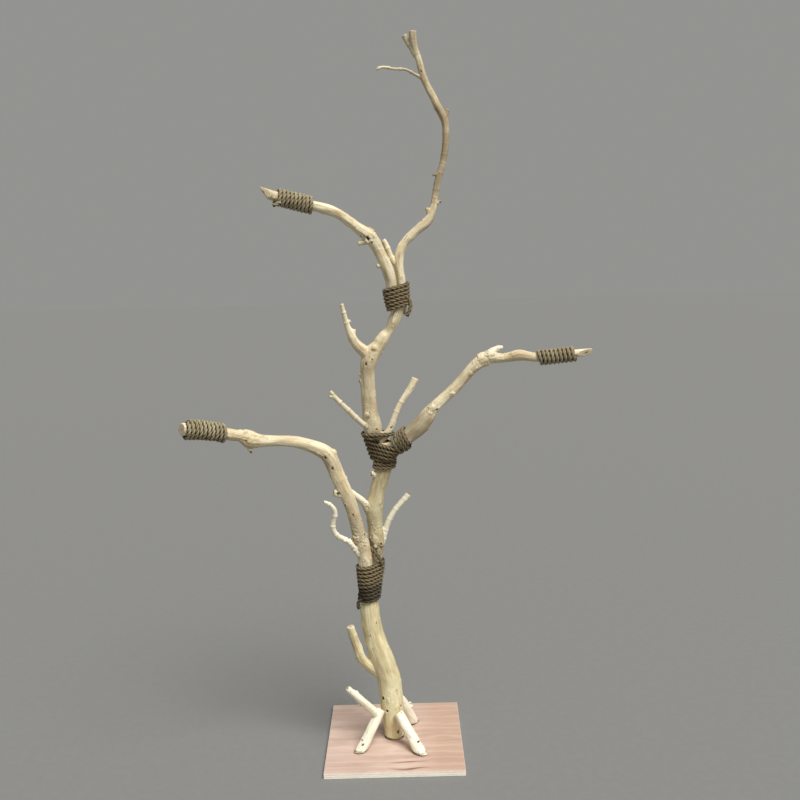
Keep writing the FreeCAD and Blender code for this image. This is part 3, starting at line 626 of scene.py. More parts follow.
def winding_path(sticks, start, end, normal, last_normal, turns, seed, out=ROPE_OUT,
                 ride_up=0.0):
    """Centreline in metres of a rope wound round the sticks between two planes."""
    start, end = np.array(start, dtype=float), np.array(end, dtype=float)
    normal = unit(np.array(normal if normal is not None else end - start, dtype=float))
    last_normal = unit(normal if last_normal is None else np.array(last_normal, dtype=float))
    span = np.linalg.norm(end - start)
    levels = max(int(turns * 3), 4)
    grid = LOOP_POINTS
    loops = []
    for level in range(levels + 1):
        part = (ROPE_INSET + (span - 2 * ROPE_INSET) * level / levels) / span
        way = normal * (1 - part) + last_normal * part
        loops.append(even_loop(taut_outline(sticks, start + (end - start) * part, way, out), grid))
    loops = np.array(loops)
    rng = np.random.default_rng(seed)
    wobble = rng.normal(0, 0.35, int(turns * 6) + 8)
    count = int(turns * grid) + 1
    turn = np.arange(count) / grid
    level = np.clip(turn / turns, 0, 1) * levels
    low = np.minimum(level.astype(int), levels - 1)
    part = (level - low)[:, None]
    where = (turn % 1.0) * grid
    spot = where.astype(int) % grid
    share = (where - np.floor(where))[:, None]
    nxt = (spot + 1) % grid
    first = loops[low, spot] * (1 - share) + loops[low, nxt] * share
    second = loops[low + 1, spot] * (1 - share) + loops[low + 1, nxt] * share
    path = first * (1 - part) + second * part
    sway = np.interp(turn * 6, np.arange(len(wobble)), wobble)
    axis = (end - start) / span
    path = path + sway[:, None] * axis
    if ride_up:
        middle = loops.mean(axis=(0, 1))
        outward = path - middle
        outward -= np.outer(outward @ axis, axis)
        outward /= np.linalg.norm(outward, axis=1)[:, None]
        tight = smooth_step(outward[:, 0], 0.0, 0.9)
        path = path + outward * (ride_up * tight * (0.5 + 0.5 * np.cos(turn * math.pi)))[:, None]
    return path * MM


def even_path(path, step):
    """Path smoothed and cut into even steps, with the length at each; few points are a tail."""
    if len(path) < 10:
        marks = np.arange(len(path))
        fine = np.linspace(0, len(path) - 1, 60)
        path = np.stack([np.interp(fine, marks, path[:, k]) for k in range(3)], axis=1)
        for _ in range(40):
            path[1:-1] = path[1:-1] * 0.5 + (path[:-2] + path[2:]) * 0.25
    for _ in range(3):
        path[1:-1] = path[1:-1] * 0.5 + (path[:-2] + path[2:]) * 0.25
    away = np.concatenate([[0], np.cumsum(np.linalg.norm(np.diff(path, axis=0), axis=1))])
    count = max(int(away[-1] / step), 4)
    at = np.linspace(0, away[-1], count + 1)
    return np.stack([np.interp(at, away, path[:, k]) for k in range(3)], axis=1), at


def carried_frames(path):
    """Directions along and across a path, carried along without twist."""
    ways = np.gradient(path, axis=0)
    ways /= np.linalg.norm(ways, axis=1)[:, None]
    side = np.cross(ways[0], [0.31, 0.2, 0.93])
    side /= np.linalg.norm(side)
    sides = np.empty_like(path)
    for index, way in enumerate(ways):
        side = unit(side - way * side.dot(way))
        sides[index] = side
    return ways, sides, np.cross(ways, sides)


def away_from_core(line):
    """Unit vectors from the middle of each turn out to the rope."""
    half = 30
    outwards = np.empty_like(line)
    for k in range(len(line)):
        near = line[max(0, k - half):k + half + 1]
        outwards[k] = line[k] - near.mean(axis=0)
    for _ in range(20):
        outwards[1:-1] = (outwards[:-2] + outwards[2:] + outwards[1:-1]) / 3
    return outwards / np.maximum(np.linalg.norm(outwards, axis=1), 1e-9)[:, None]


def strand_rings(line, at, outwards, sides, others, fat, strand):
    """Rings of one strand: points, fibre coordinates and how open each point lies."""
    spin = 2 * math.pi * (at / ROPE_LAY + strand / 3)
    spin = spin + 0.12 * np.sin(at * 90 + strand)
    centre = line + STRAND_OFFSET * (np.cos(spin)[:, None] * sides
                                     + np.sin(spin)[:, None] * others)
    ring = np.linspace(0, 2 * math.pi, RING_SIDES, endpoint=False)
    # a strand is pressed flat towards the heart of the rope
    squeeze = 1 - 0.12 * np.abs(np.sin(ring)) * (np.cos(ring) < 0)
    angle = ring + spin[:, None]
    reach = (STRAND_RADIUS * fat[:, None] * squeeze)[..., None]
    circle = centre[:, None] + reach * (np.cos(angle)[..., None] * sides[:, None]
                                        + np.sin(angle)[..., None] * others[:, None])
    turned = ring - at[:, None] * 2 * math.pi / STRAND_TWIST
    along = np.broadcast_to((at * 12 + strand * 3.7)[:, None], turned.shape)
    fibre = np.stack([np.cos(turned), np.sin(turned), along], axis=2)
    off = circle - line[:, None]
    far = np.linalg.norm(off, axis=2)
    facing = np.einsum("ijk,ik->ij", off, outwards) / np.maximum(far, 1e-6)
    # painted shade: depth is low in the gaps between strands and between turns, and the material
    # paints those dark
    depth = (0.58 + 0.42 * smooth_step(far, 0.0038, 0.0052)) * smooth_step(facing, 0.14, 0.78)
    return circle.reshape(-1, 3), fibre.reshape(-1, 3), depth.ravel()


def loose_fibre(rng, heart, way, side, other):
    """Four pairs of points along a thin curled blade that stands off the rope."""
    turn = rng.random() * 2 * math.pi
    outward = math.cos(turn) * side + math.sin(turn) * other
    root = heart + outward * ROPE_RADIUS * 0.9
    forward = way * rng.choice([-1, 1])
    lift = rng.uniform(0.15, 0.9)
    way = unit(forward + outward * lift + rng.normal(0, 0.25, 3))
    curl = rng.normal(0, 0.5, 3)
    length = rng.uniform(*FIBRE_LENGTH)
    wide = np.cross(way, outward + 0.3 * rng.normal(size=3))
    wide = unit(wide) * rng.uniform(*FIBRE_HALF_WIDTH)
    for part in (0, 1 / 3, 2 / 3, 1):
        spine = root + way * length * part + curl * length * 0.35 * part * part
        thin = wide * (1 - 0.75 * part)
        yield part, spine - thin, spine + thin


def rope_mesh(name, paths, seed, bleach=0.0, dark_below=0.0):
    """Three-strand right-laid rope along each path, with loose fibres."""
    rng = np.random.default_rng(seed)
    points, faces, fibre, depth, loose = [], [], [], [], []
    for path in paths:
        line, at = even_path(path.copy(), ROPE_STEP)
        outwards = away_from_core(line)
        if at[-1] < TAIL_LENGTH:
            outwards = np.tile((0.0, -1.0, 0.0), (len(line), 1))
        ways, sides, others = carried_frames(line)
        count = len(line)
        knots = np.arange(0, at[-1] + 0.05, 0.012)
        fat = 1 + 0.035 * np.interp(at, knots, rng.normal(0, 1, len(knots)))
        for strand in range(3):
            base = len(points)
            found = strand_rings(line, at, outwards, sides, others, fat, strand)
            for kept, new in zip((points, fibre, depth), found):
                kept.extend(new)
            loose.extend(np.zeros(count * RING_SIDES))
            for a in range(base, base + (count - 1) * RING_SIDES, RING_SIDES):
                for j in range(RING_SIDES):
                    n = (j + 1) % RING_SIDES
                    faces.append((a + j, a + n, a + RING_SIDES + n, a + RING_SIDES + j))
            faces.append(tuple(base + j for j in reversed(range(RING_SIDES))))
            last = base + (count - 1) * RING_SIDES
            faces.append(tuple(last + j for j in range(RING_SIDES)))
        for spot in rng.integers(2, count - 2, int(at[-1] * FIBRES_PER_METRE)):
            base = len(points)
            for part, left, right in loose_fibre(rng, line[spot], ways[spot], sides[spot],
                                                 others[spot]):
                points.extend([left, right])
                fibre.extend([(0, 1, part)] * 2)
                depth.extend([0.9] * 2)
                loose.extend([1] * 2)
            for a in (base, base + 2, base + 4):
                faces.append((a, a + 1, a + 3, a + 2))
    obj = mesh_object(name, points, faces)
    points = np.array(points)
    # darker towards the bottom: below dark_below the depth values drop, so the painted gap shade
    # grows there
    low = smooth_step(points[:, 2], dark_below + 0.018, dark_below - 0.018)
    # painted light: the outer strands of the tip wraps are lightened by this share
    painted_lit = bleach * (0.75 + 0.45 * value_noise(points / 0.02, seed))
    for kind, values in (("fibre", np.array(fibre)), ("depth", np.array(depth) * (1 - 0.72 * low)),
                         ("loose", np.array(loose)), ("bleach", np.clip(painted_lit, 0, 1))):
        add_attribute(obj.data, kind, values)
    return obj


# ---- materials
def srgb(red, green, blue):
    def lin(v):
        v = v / 255
        return v / 12.92 if v <= 0.04045 else ((v + 0.055) / 1.055) ** 2.4
    return (lin(red), lin(green), lin(blue), 1)


class Graph:
    """Short way to write a node tree."""

    def __init__(self, name):
        self.material = bpy.data.materials.new(name)
        self.material.use_nodes = True
        self.tree = self.material.node_tree
        self.shader = self.tree.nodes["Principled BSDF"]
        self.world = self.add("ShaderNodeTexCoord").outputs["Object"]

    def add(self, kind, inputs=None, **settings):
        node = self.tree.nodes.new(kind)
        for key, value in settings.items():
            setattr(node, key, value)
        for key, value in (inputs or {}).items():
            self.put(node.inputs[key], value)
        return node

    def put(self, socket, value):
        if isinstance(value, bpy.types.NodeSocket):
            self.tree.links.new(value, socket)
        else:
            socket.default_value = value

    def attribute(self, name, vector=False):
        node = self.add("ShaderNodeAttribute", attribute_name=name)
        return node.outputs["Vector" if vector else "Fac"]

    def scaled(self, vector, scale):
        node = self.add("ShaderNodeMapping", {"Vector": vector, "Scale": scale})
        return node.outputs["Vector"]

    def noise(self, vector, scale, detail=4.0, rough=0.55, distortion=0.0):
        node = self.add("ShaderNodeTexNoise", {"Vector": vector, "Scale": scale, "Detail": detail,
                                               "Roughness": rough, "Distortion": distortion})
        return node.outputs["Fac"]

    def ramp(self, value, *stops):
        node = self.add("ShaderNodeValToRGB", {"Fac": value})
        elements = node.color_ramp.elements
        while len(elements) < len(stops):
            elements.new(0.5)
        for element, (place, colour) in zip(elements, stops):
            element.position = place
            if not isinstance(colour, tuple):
                colour = (colour, colour, colour, 1)
            element.color = colour
        return node.outputs["Color"]

    def over(self, below, tint, value, *stops):
        """Lays a tint over a colour where the ramp of a value is high."""
        return self.mix(self.ramp(value, *stops), below, tint)

    def mix(self, share, first, second, mode="MIX"):
        node = self.add("ShaderNodeMix", data_type="RGBA", blend_type=mode)
        self.put(node.inputs[0], share)
        self.put(node.inputs[6], first)
        self.put(node.inputs[7], second)
        return node.outputs[2]

    def sum(self, first, second, kind="ADD"):
        node = self.add("ShaderNodeMath", operation=kind)
        self.put(node.inputs[0], first)
        self.put(node.inputs[1], second)
        return node.outputs[0]

    def bump(self, height, strength, distance, normal=None):
        node = self.add("ShaderNodeBump", {"Height": height, "Strength": strength,
                                           "Distance": distance})
        if normal is not None:
            self.put(node.inputs["Normal"], normal)
        return node.outputs["Normal"]

    def finish(self, colour, roughness, normal=None, **constants):
        self.put(self.shader.inputs["Base Color"], colour)
        self.put(self.shader.inputs["Roughness"], roughness)
        if normal is not None:
            self.put(self.shader.inputs["Normal"], normal)
        for key, value in constants.items():
            self.shader.inputs[key.replace("_", " ")].default_value = value
        return self.material


TAN, FLECK, CRACK = srgb(192, 160, 116), srgb(112, 84, 52), srgb(74, 56, 34)
WEATHER_AND_PAINTED_SHADE, KNOT, PAINTED_HOLE_SHADE = srgb(121, 101, 74), srgb(66, 45, 25), srgb(24, 15, 8)
TWIG_LIGHT, TWIG_STREAK = srgb(243, 237, 216), srgb(206, 190, 152)
SAWN_LIGHT, SAWN_DARK = srgb(229, 216, 184), srgb(196, 176, 138)
SAWN_ROUGH, PITH = srgb(158, 138, 106), srgb(84, 62, 40)


def wood_material(name, light, middle, dark, weather=0.35, seed=0.0, blotchy=0.72):
    """Peeled, dried branch wood: fibre streaks, drying cracks, knots with painted shade in their
    holes, patches of weathering and painted shade, and sawn ends.
    """
    g = Graph(name)
    grain = g.attribute("grain", True)
    place = g.add("ShaderNodeMapping", {"Vector": grain, "Location": (seed, seed * 2, seed * 3),
                                        "Scale": (1, 1, 0.075)}).outputs["Vector"]
    broad = g.noise(place, 60, 5, 0.6, 0.6)
    streak = g.noise(place, 210, 6, 0.65, 0.3)
    fibre = g.noise(g.scaled(place, (1, 1, 0.5)), 900, 4, 0.6)
    patch = g.noise(g.world, 9, 4, 0.6, 0.5)
    patch_fine = g.noise(g.world, 48, 5, 0.65, 0.8)
    blotch = g.noise(g.scaled(place, (1, 1, 3.5)), 34, 5, 0.62, 1.2)
    fleck = g.noise(g.scaled(place, (1, 1, 5)), 150, 3, 0.5)
    tinted = g.ramp(broad, (0.30, middle), (0.52, light), (0.80, light))
    for tint, value, *stops in (
            (middle, streak, (0.50, 0.0), (0.78, 0.55)),
            (dark, streak, (0.60, 0.0), (0.70, 0.62), (0.78, 0.0)),
            (dark, patch, (0.42, 0.0), (0.72, weather)),
            (TAN, blotch, (0.50, 0.0), (0.66, blotchy)),
            (light, blotch, (0.30, 0.5), (0.42, 0.0)),
            (FLECK, fleck, (0.68, 0.0), (0.74, 0.8)),
            (middle, patch_fine, (0.56, 0.0), (0.80, 0.40)),
            (dark, fibre, (0.35, 0.22), (0.6, 0.0))):
        tinted = g.over(tinted, tint, value, *stops)
    crack_noise = g.noise(g.scaled(place, (1, 1, 0.45)), 75, 3, 0.5, 0.9)
    crack_mask = g.ramp(g.noise(g.world, 14, 2), (0.53, 0.0), (0.62, 1.0))
    crack = g.ramp(crack_noise, (0.493, 0.0), (0.5, 1.0), (0.507, 0.0))
    crack = g.sum(crack, crack_mask, "MULTIPLY")
    tinted = g.mix(g.sum(crack, 0.75, "MULTIPLY"), tinted, CRACK)
    # painted shade and weathering: the shade attribute darkens the wood towards this colour
    tinted = g.mix(g.sum(g.attribute("shade"), g.ramp(streak, (0.3, 1.0), (0.75, 0.65)),
                         "MULTIPLY"), tinted, WEATHER_AND_PAINTED_SHADE)
    twig = g.over(TWIG_LIGHT, TWIG_STREAK, streak, (0.5, 0.0), (0.8, 0.8))
    tinted = g.mix(g.attribute("pale"), tinted, twig)
    mark = g.attribute("mark")
    # knot wood, then near-black painted shade inside the holes
    tinted = g.over(tinted, KNOT, mark, (0.08, 0.0), (0.55, 0.85))
    tinted = g.over(tinted, PAINTED_HOLE_SHADE, mark, (0.55, 0.0), (0.95, 0.9))
    flat = g.scaled(grain, (1, 1, 0))
    far = g.add("ShaderNodeVectorMath", {0: flat}, operation="LENGTH").outputs["Value"]
    rings = g.add("ShaderNodeMath", {0: g.sum(g.sum(far, RING_WAVES, "MULTIPLY"),
                                              g.sum(g.noise(g.world, 90, 3), 5, "MULTIPLY")),
                                     1: 0.0}, operation="SINE").outputs[0]
    sawn = g.over(SAWN_DARK, SAWN_LIGHT, g.sum(g.sum(rings, 0.5, "MULTIPLY"), 0.5),
                  (0.2, 0.0), (0.8, 1.0))
    sawn = g.over(sawn, SAWN_ROUGH, g.noise(g.world, 380, 5, 0.7), (0.45, 0.0), (0.7, 0.6))
    sawn = g.over(sawn, PITH, far, (0.0008, 1.0), (0.002, 0.0))
    colour = g.mix(g.attribute("cut"), tinted, sawn)
    roughness = g.ramp(patch_fine, (0.3, 0.52), (0.8, 0.74))
    normal = g.bump(fibre, 0.35, 0.0006)
    normal = g.bump(streak, 0.45, 0.0014, normal)
    normal = g.bump(crack, -0.6, 0.0012, normal)
    return g.finish(colour, roughness, normal, Specular_IOR_Level=0.35)


STRAW, LOOSE = srgb(214, 200, 170), srgb(176, 156, 120)
# colours of the painted light on the tip wraps
PAINTED_LIT_PALE, PAINTED_LIT_DARK = srgb(222, 212, 176), srgb(150, 136, 98)


def rope_material(name, light, middle, dark):
    """Brown hemp: fibres along each strand, painted shade between the strands and turns, and
    painted light on the outer strands of the tip wraps.
    """
    g = Graph(name)
    fibre = g.attribute("fibre", True)
    yarn = g.noise(g.scaled(fibre, (1.6, 1.6, 0.35)), 2.6, 4, 0.6)
    hair = g.noise(g.scaled(fibre, (7, 7, 0.9)), 3.2, 4, 0.7)
    patch = g.noise(g.world, 26, 4, 0.6, 0.4)
    colour = g.ramp(yarn, (0.3, middle), (0.68, light))
    depth, bleach = g.attribute("depth"), g.attribute("bleach")
    for tint, value, *stops in (
            (dark, hair, (0.38, 0.75), (0.56, 0.0)),
            (STRAW, hair, (0.6, 0.0), (0.74, 0.65)),
            (middle, patch, (0.4, 0.0), (0.75, 0.45)),
            # painted shade in the gaps between strands and turns
            (dark, depth, (0.05, 0.96), (0.4, 0.55), (0.9, 0.0))):
        colour = g.over(colour, tint, value, *stops)
    # painted light: outer strands get a lighter copy of the rope colour where the share is set
    painted_lit = g.over(PAINTED_LIT_DARK, PAINTED_LIT_PALE, hair, (0.35, 0.0), (0.65, 1.0))
    outer = g.ramp(depth, (0.3, 0.0), (0.85, 1.0))
    colour = g.mix(g.sum(bleach, outer, "MULTIPLY"), colour, painted_lit)
    colour = g.mix(g.sum(g.attribute("loose"), 0.7, "MULTIPLY"), colour, LOOSE)
    normal = g.bump(hair, 0.7, 0.0006)
    normal = g.bump(yarn, 0.6, 0.0008, normal)
    return g.finish(colour, 0.86, normal, Specular_IOR_Level=0.2, Sheen_Weight=0.12,
                    Sheen_Roughness=0.6)


def steel_material(name):
    g = Graph(name)
    stain = g.noise(g.world, 420, 5, 0.7)
    colour = g.ramp(stain, (0.3, srgb(96, 90, 80)), (0.7, srgb(172, 168, 158)))
    normal = g.bump(g.noise(g.world, 1500, 3), 0.3, 0.0002)
    return g.finish(colour, g.ramp(stain, (0.3, 0.32), (0.7, 0.6)), normal, Metallic=0.9)


def plywood_material(name):
    """Reddish rotary-cut face with brown figure lines, and pale plies at the edges."""
    g = Graph(name)
    warp = g.add("ShaderNodeTexNoise", {"Vector": g.scaled(g.world, (1.0, 2.6, 1)), "Scale": 3.2,
                                        "Detail": 3.0, "Roughness": 0.5}).outputs["Color"]
    bent = g.mix(0.42, g.scaled(g.world, (0.6, 5.5, 1)), warp, "ADD")
    figure = g.add("ShaderNodeTexWave", {"Vector": bent, "Scale": 1.7, "Distortion": 7.0,
                                         "Detail": 3.0, "Detail Scale": 1.6},
                   bands_direction="Y").outputs["Fac"]
    fibre = g.noise(g.scaled(g.world, (12, 420, 12)), 1.0, 5, 0.7)
    pore = g.noise(g.scaled(g.world, (26, 900, 26)), 1.0, 3, 0.6)
    tone = g.noise(g.scaled(g.world, (3, 9, 3)), 1.4, 4, 0.6, 0.5)
    face = g.ramp(tone, (0.3, srgb(186, 158, 143)), (0.7, srgb(213, 190, 176)))
    broken = g.noise(g.scaled(g.world, (4, 16, 4)), 1.0, 3, 0.6)
    line = g.sum(g.ramp(figure, (0.0, 0.40), (0.10, 0.0)), g.ramp(broken, (0.5, 0.0), (0.66, 1.0)),
                 "MULTIPLY")
    front = g.add("ShaderNodeMapping", {"Vector": g.world, "Location": (-0.56, 3.96, 0),
                                        "Scale": (14, 24, 0)}).outputs["Vector"]
    near = g.add("ShaderNodeVectorMath", {0: front}, operation="LENGTH").outputs["Value"]
    curl = g.sum(g.ramp(near, (0.4, 0.9), (1.15, 0.0)), g.ramp(figure, (0.06, 1.0), (0.22, 0.0)),
                 "MULTIPLY")
    side = g.add("ShaderNodeSeparateXYZ", {"Vector": g.world}).outputs["X"]
    face = g.over(face, srgb(182, 148, 125), side, (0.02, 0.0), (0.13, 0.6))
    face = g.mix(line, face, srgb(150, 104, 82))
    face = g.mix(curl, face, srgb(128, 84, 62))
    face = g.over(face, srgb(240, 220, 204), figure, (0.7, 0.0), (1.0, 0.16))
    face = g.over(face, srgb(176, 134, 112), fibre, (0.32, 0.15), (0.55, 0.0))
    face = g.over(face, srgb(140, 100, 80), pore, (0.28, 0.35), (0.36, 0.0))
    edge_grain = g.noise(g.scaled(g.world, (60, 60, 700)), 1.0, 4, 0.7)
    edge = g.ramp(edge_grain, (0.3, srgb(240, 230, 210)), (0.7, srgb(254, 250, 240)))
    edge = g.over(edge, srgb(190, 156, 122), g.attribute("ply"), (0.4, 0.0), (0.6, 0.12))
    stained = g.ramp(g.noise(g.scaled(g.world, (7, 7, 0)), 1.0, 2), (0.42, 0.35), (0.62, 1.0))
    edge = g.mix(g.sum(g.attribute("glue"), stained, "MULTIPLY"), edge, srgb(96, 66, 44))
    colour = g.mix(g.attribute("edge"), face, edge)
    normal = g.bump(fibre, 0.25, 0.0005)
    normal = g.bump(pore, 0.3, 0.0004, normal)
    return g.finish(colour, g.ramp(tone, (0.3, 0.5), (0.7, 0.66)), normal, Specular_IOR_Level=0.35)


def stage_material(name, colour):
    g = Graph(name)
    faint = g.noise(g.world, 40, 3)
    return g.finish(g.over(colour, (1, 1, 1, 1), faint, (0.3, 0.0), (0.7, 0.012)), 0.85)


TRUNK = wood_material("trunk_wood", srgb(237, 228, 188), srgb(207, 190, 138), srgb(146, 122, 78),
                      0.34, 1.3)
ARM = wood_material("arm_wood", srgb(242, 231, 198), srgb(209, 188, 140), srgb(142, 118, 80),
                    0.42, 4.1)
BRACE = wood_material("brace_wood", srgb(248, 244, 224), srgb(230, 221, 188), srgb(186, 166, 122),
                      0.12, 7.7, 0.3)
ROPE = rope_material("hemp_rope", srgb(168, 150, 112), srgb(112, 95, 66), srgb(29, 20, 10))
STEEL = steel_material("screw_steel")
PLYWOOD = plywood_material("plywood")
DOWEL = wood_material("dowel_wood", srgb(232, 214, 172), srgb(206, 182, 134), srgb(170, 140, 96),
                      0.1, 2.2)

# ---- wood in place: darkened patches, partly weathered wood and partly painted shade, are x, y, z and reach in mm, and strength
wood_piece("lower_trunk", TRUNK, 11)
wood_piece("front_left_brace", BRACE, 12)
wood_piece("front_right_brace", BRACE, 13)
wood_piece("rear_right_brace", BRACE, 14, fuller=0.003)
wood_piece("middle_trunk", TRUNK, 15,
           [(-40, 12, 610, 75, 0.5), (-36, 0, 720, 150, 0.28), (-52, -17, 829, 16, 0.7),
            (-20, 0, 830, 90, 0.3)])
wood_piece("left_arm", ARM, 16,
           [(-105, -35, 700, 120, 0.22), (-78, -30, 690, 65, 0.45), (-165, -48, 880, 60, 0.25)])
wood_piece("upper_trunk", ARM, 17,
           [(-45, 4, 1060, 130, 0.34), (-40, 8, 960, 70, 0.3)],
           pale_twigs=0.25, eased=[(6, -4, 1240, 36)])
wood_piece("right_arm", ARM, 18, [(90, -48, 970, 70, 0.6)])
wood_piece("upper_left_arm", ARM, 19, pale_twigs=0.2)
wood_piece("crown_branch", ARM, 21,
           [(165, 25, 1650, 75, 0.7), (185, 34, 1740, 75, 0.8), (180, 40, 1820, 60, 0.65),
            (130, 50, 1930, 90, 0.4), (100, 56, 2020, 60, 0.5)], pale_twigs=0.0)


# ---- rope in place
def rope_piece(node, paths, seed, **settings):
    place_piece(rope_mesh(node + "_rope", paths, seed, **settings), node, ROPE)


def between(stations, first, last):
    """Places on a stick's heart, given as station numbers with a fraction."""
    number = np.arange(len(stations))
    return [np.array([np.interp(place, number, stations[:, k]) for k in range(3)])
            for place in (first, last)]


def tail(*points):
    """A loose rope end that lies along the points, in mm."""
    return np.array(points, dtype=float) * MM


rope_piece("lower_rope_wrap", [winding_path(
    [LOWER_TRUNK, MIDDLE_TRUNK, LEFT_ARM], (-62, -2, 443), (-54, -4, 572), (0, 0, 1), None,
    10.1, 31),
    tail((-86, -27, 462), (-94, -29, 452), (-96, -31, 442), (-92, -32, 433)),
    tail((-22, -16, 562), (-27, -19, 576), (-35, -22, 592), (-46, -22, 606), (-54, -20, 615))],
    41, dark_below=0.505)
rope_piece("middle_rope_wrap", [
    winding_path([MIDDLE_TRUNK, UPPER_TRUNK, RIGHT_ARM], (-4, 4, 837), (0, -6, 929), (0.05, 0, 1),
                 (0.27, 0, 0.96), 7.35, 32, ride_up=1.5),
    winding_path([UPPER_TRUNK, LOW_RIGHT_TWIG], (-30, 10, 937), (-30, 10, 951), (0.02, 0, 1), None,
                 1.02, 33)], 42)
rope_piece("right_arm_rope_collar", [winding_path(
    [RIGHT_ARM], (27, -30, 914), (38, -35, 924), (0.7, -0.2, 0.68), (0.92, -0.2, 0.36), 1.1, 39),
    winding_path([RIGHT_ARM], (38, -35, 923), (66, -42, 947), (0.92, -0.2, 0.36), None, 2.6, 34,
                 out=6.5)], 43)
# a core that isn't drawn: it only pushes the turns out on the right of the upper wrap
UPPER_WRAP_FILLER = stick("60 -3 1280 22, 57 -3 1395 20")
rope_piece("upper_rope_wrap", [winding_path(
    [UPPER_TRUNK, UPPER_LEFT_ARM, CROWN_BRANCH, UPPER_WRAP_FILLER], (49, 0, 1296),
    (41, 0, 1371), (-0.2, 0, 1), None, 6.0, 35),
    tail((70, -15, 1334), (79, -15, 1320), (80, -17, 1304), (74, -19, 1290), (68, -18, 1280))], 44)
# the tip wraps carry painted light on their outer strands
rope_piece("left_arm_tip_wrap", [winding_path(
    [LEFT_ARM], *between(LEFT_ARM, 23.2, 25.68), None, None, 9.7, 36, out=6.0)], 45, bleach=0.6)
rope_piece("right_arm_tip_wrap", [winding_path(
    [RIGHT_ARM], *between(RIGHT_ARM, 20, 22.7), None, None, 8.8, 37, out=6.0)], 46, bleach=0.5)
rope_piece("upper_left_arm_tip_wrap", [winding_path(
    [UPPER_LEFT_ARM], *between(UPPER_LEFT_ARM, 13.15, 15.7), None, None, 9.3, 38, out=6.0),
    tail((-258, -96, 1596), (-270, -98, 1591), (-280, -97, 1588))], 47, bleach=0.6)


# ---- board
BOARD_CUTS, PLIES = 150, 7
# rows of edge points in each ply: height, how far they are set in, and glue
PLY_ROWS = ((0.0, 0.00035, 1.0), (0.30, 0.00005, 0.7), (0.5, 0.0, 0.0), (0.72, 0.00005, 0.0))
GLUE_OF_PLIES = (0.0, 0.1, 1.0, 0.1, 0.2, 1.0, 0.15)
CORNER_ROUNDING, CHIP_DEPTH, CHIP_FINE, RIM_CHIP = 2.2, 0.00018, 0.0001, 0.0004


def board_face(low, high, z, rim, first):
    """Inner points of a face of the board, and its quads with the rim and those points."""
    inner = np.arange(1, BOARD_CUTS) / BOARD_CUTS
    x, y = np.meshgrid(*(low[k] + (high[k] - low[k]) * inner for k in (0, 1)), indexing="ij")
    number = np.empty((BOARD_CUTS + 1, BOARD_CUTS + 1), dtype=int)
    number[1:-1, 1:-1] = first + np.arange(x.size).reshape(x.shape)
    number[:-1, 0], number[-1, :-1], number[:0:-1, -1], number[0, :0:-1] = rim.reshape(4, -1)
    quads = np.stack([number[:-1, :-1], number[1:, :-1], number[1:, 1:], number[:-1, 1:]], axis=2)
    return np.column_stack([x.ravel(), y.ravel(), np.full(x.size, z)]), quads.reshape(-1, 4)


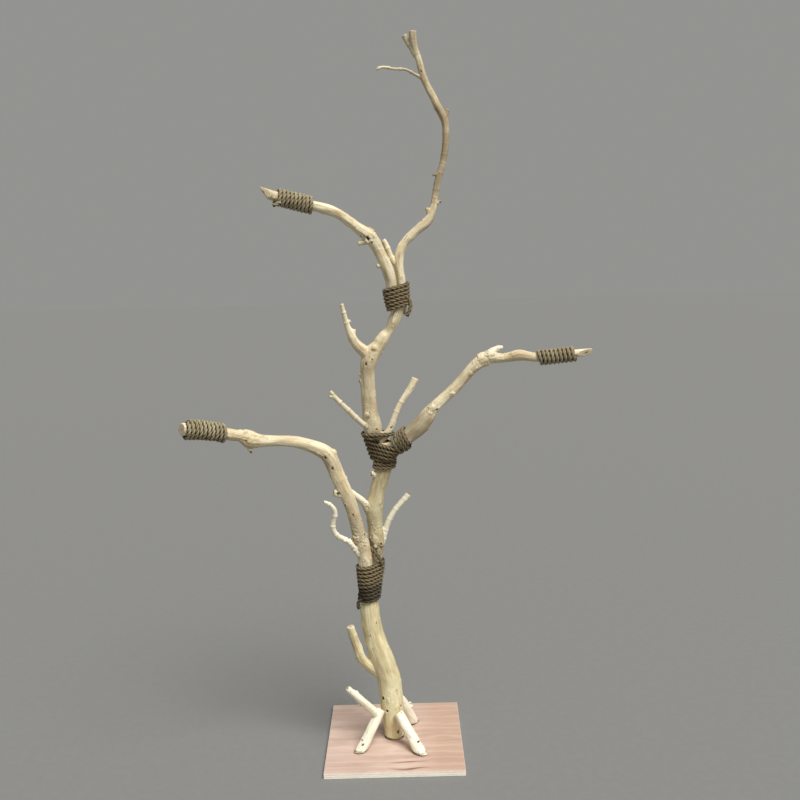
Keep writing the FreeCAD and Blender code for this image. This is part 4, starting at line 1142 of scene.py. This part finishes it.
def plywood_board():
    """The board: rows of points round its edge for the plies, then the two faces."""
    low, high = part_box("base_board")
    low, high = np.array(low), np.array(high)
    centre, half = (low[:2] + high[:2]) / 2, (high[:2] - low[:2]) / 2
    rows = [(0.0, 0.0008, 0.0, 0)] + [
        ((ply + part) / PLIES, inset, dark * GLUE_OF_PLIES[ply], ply % 2)
        for ply in range(PLIES) for part, inset, dark in PLY_ROWS][1:] + [(1.0, 0.0006, 0.0, 0)]
    corners = centre + half * [(-1, -1), (1, -1), (1, 1), (-1, 1), (-1, -1)]
    part = np.linspace(0, 1, BOARD_CUTS + 1)[:-1, None]
    outline = np.concatenate([a + (b - a) * part for a, b in zip(corners, corners[1:])])
    around, last = len(outline), len(rows) - 1
    outward = (outline - centre) / half
    outward[np.abs(outward) <= 0.9999] = 0
    outward[(outward != 0).all(axis=1)] *= CORNER_ROUNDING
    points, faces, values = [], [], []
    ring = np.arange(around)
    for row, (height, inset, dark, band) in enumerate(rows):
        level = np.column_stack([outline, np.full(around, low[2] + (high - low)[2] * height)])
        chip = value_noise(level * (160, 160, 420), 5)
        deep = inset + CHIP_DEPTH * (1 + chip) + CHIP_FINE * value_noise(level * 900, 6)
        if row in (0, last):
            deep += RIM_CHIP * np.maximum(chip, 0)
        level[:, :2] -= outward * deep[:, None]
        points.extend(level)
        values += [(float(row < last), dark * 0.8, float(band))] * around
        if row < last:
            a, b = row * around + ring, row * around + (ring + 1) % around
            faces += np.stack([a, b, b + around, a + around], axis=1).tolist()
    for z, row, way in ((high[2], last, 1), (low[2], 0, -1)):
        inside, quads = board_face(low, high, z, row * around + ring, len(points))
        points.extend(inside)
        values += [(0.0, 0.0, 0.0)] * len(inside)
        faces += quads[:, ::way].tolist()
    points = np.array(points)
    inner = (np.abs(points[:, 2] - high[2]) < 1e-6)
    relief = value_noise(points * np.array([9, 240, 1]), 8) * 0.00010
    relief += value_noise(points * np.array([20, 700, 1]), 9) * 0.00006 - 0.00012
    rim_down = smooth_step(np.minimum(half[0] - np.abs(points[:, 0] - centre[0]),
                                      half[1] - np.abs(points[:, 1] - centre[1])), 0.003, 0)
    points[:, 2] += inner * (relief - rim_down * 0.0005)
    obj = mesh_object("base_board_plywood", points, faces)
    for name, column in zip(("edge", "glue", "ply"), np.array(values).T):
        add_attribute(obj.data, name, column)
    obj.data.set_sharp_from_angle(angle=math.radians(38))
    place_piece(obj, "base_board", PLYWOOD)


plywood_board()

# ---- fasteners, which keep their CAD shapes
for node in ("trunk_base_screws", "brace_foot_screws", "brace_head_screws", "lower_joint_screws",
             "middle_joint_screws", "upper_joint_screws", "spur_screw", "rope_end_nails",
             "trunk_dowel"):
    materials = NODES[node].data.materials
    materials.clear()
    materials.append(DOWEL if node == "trunk_dowel" else STEEL)

# ---- floor and light
floor = mesh_object("floor", [(-30, -30, 0), (30, -30, 0), (30, 30, 0), (-30, 30, 0)],
                    [(0, 1, 2, 3)], smooth=False)
floor.location.z = -0.0002
floor.data.materials.append(stage_material("pale_floor", srgb(120, 120, 118)))

world = bpy.data.worlds.new("studio")
bpy.context.scene.world = world
world.use_nodes = True
world.node_tree.nodes["Background"].inputs["Color"].default_value = (0.295, 0.295, 0.283, 1)
world.node_tree.nodes["Background"].inputs["Strength"].default_value = 1.0


lamp = bpy.data.lights.new("key", "SUN")
lamp.energy = 4.0
lamp.angle = math.radians(36)
lamp.color = (1, 0.99, 0.965)
key = new_object("key", lamp)
key.rotation_euler = Vector((-0.38, 0.52, -1.0)).to_track_quat("-Z", "Y").to_euler()

# ---- camera, fitted to the board's corners in the photograph
YAW, PITCH, ROLL = math.radians(0.20), math.radians(8.77), math.radians(-1.58)
EYE = Vector((0.0519, -2.5469, 1.4340))
forward = Vector((-math.sin(YAW) * math.cos(PITCH), math.cos(YAW) * math.cos(PITCH),
                  -math.sin(PITCH)))
right = Vector((math.cos(YAW), math.sin(YAW), 0))
up = right.cross(forward)
right_rolled = right * math.cos(ROLL) + up * math.sin(ROLL)
up_rolled = up * math.cos(ROLL) - right * math.sin(ROLL)
pose = Matrix((right_rolled, up_rolled, -forward)).transposed().to_4x4()
pose.translation = EYE
camera = new_object("camera", bpy.data.cameras.new("camera"))
camera.data.sensor_width = 36
camera.data.lens = 40.68
camera.matrix_world = pose
bpy.context.scene.camera = camera

bpy.context.scene.view_settings.view_transform = "Standard"
bpy.context.scene.view_settings.look = "None"
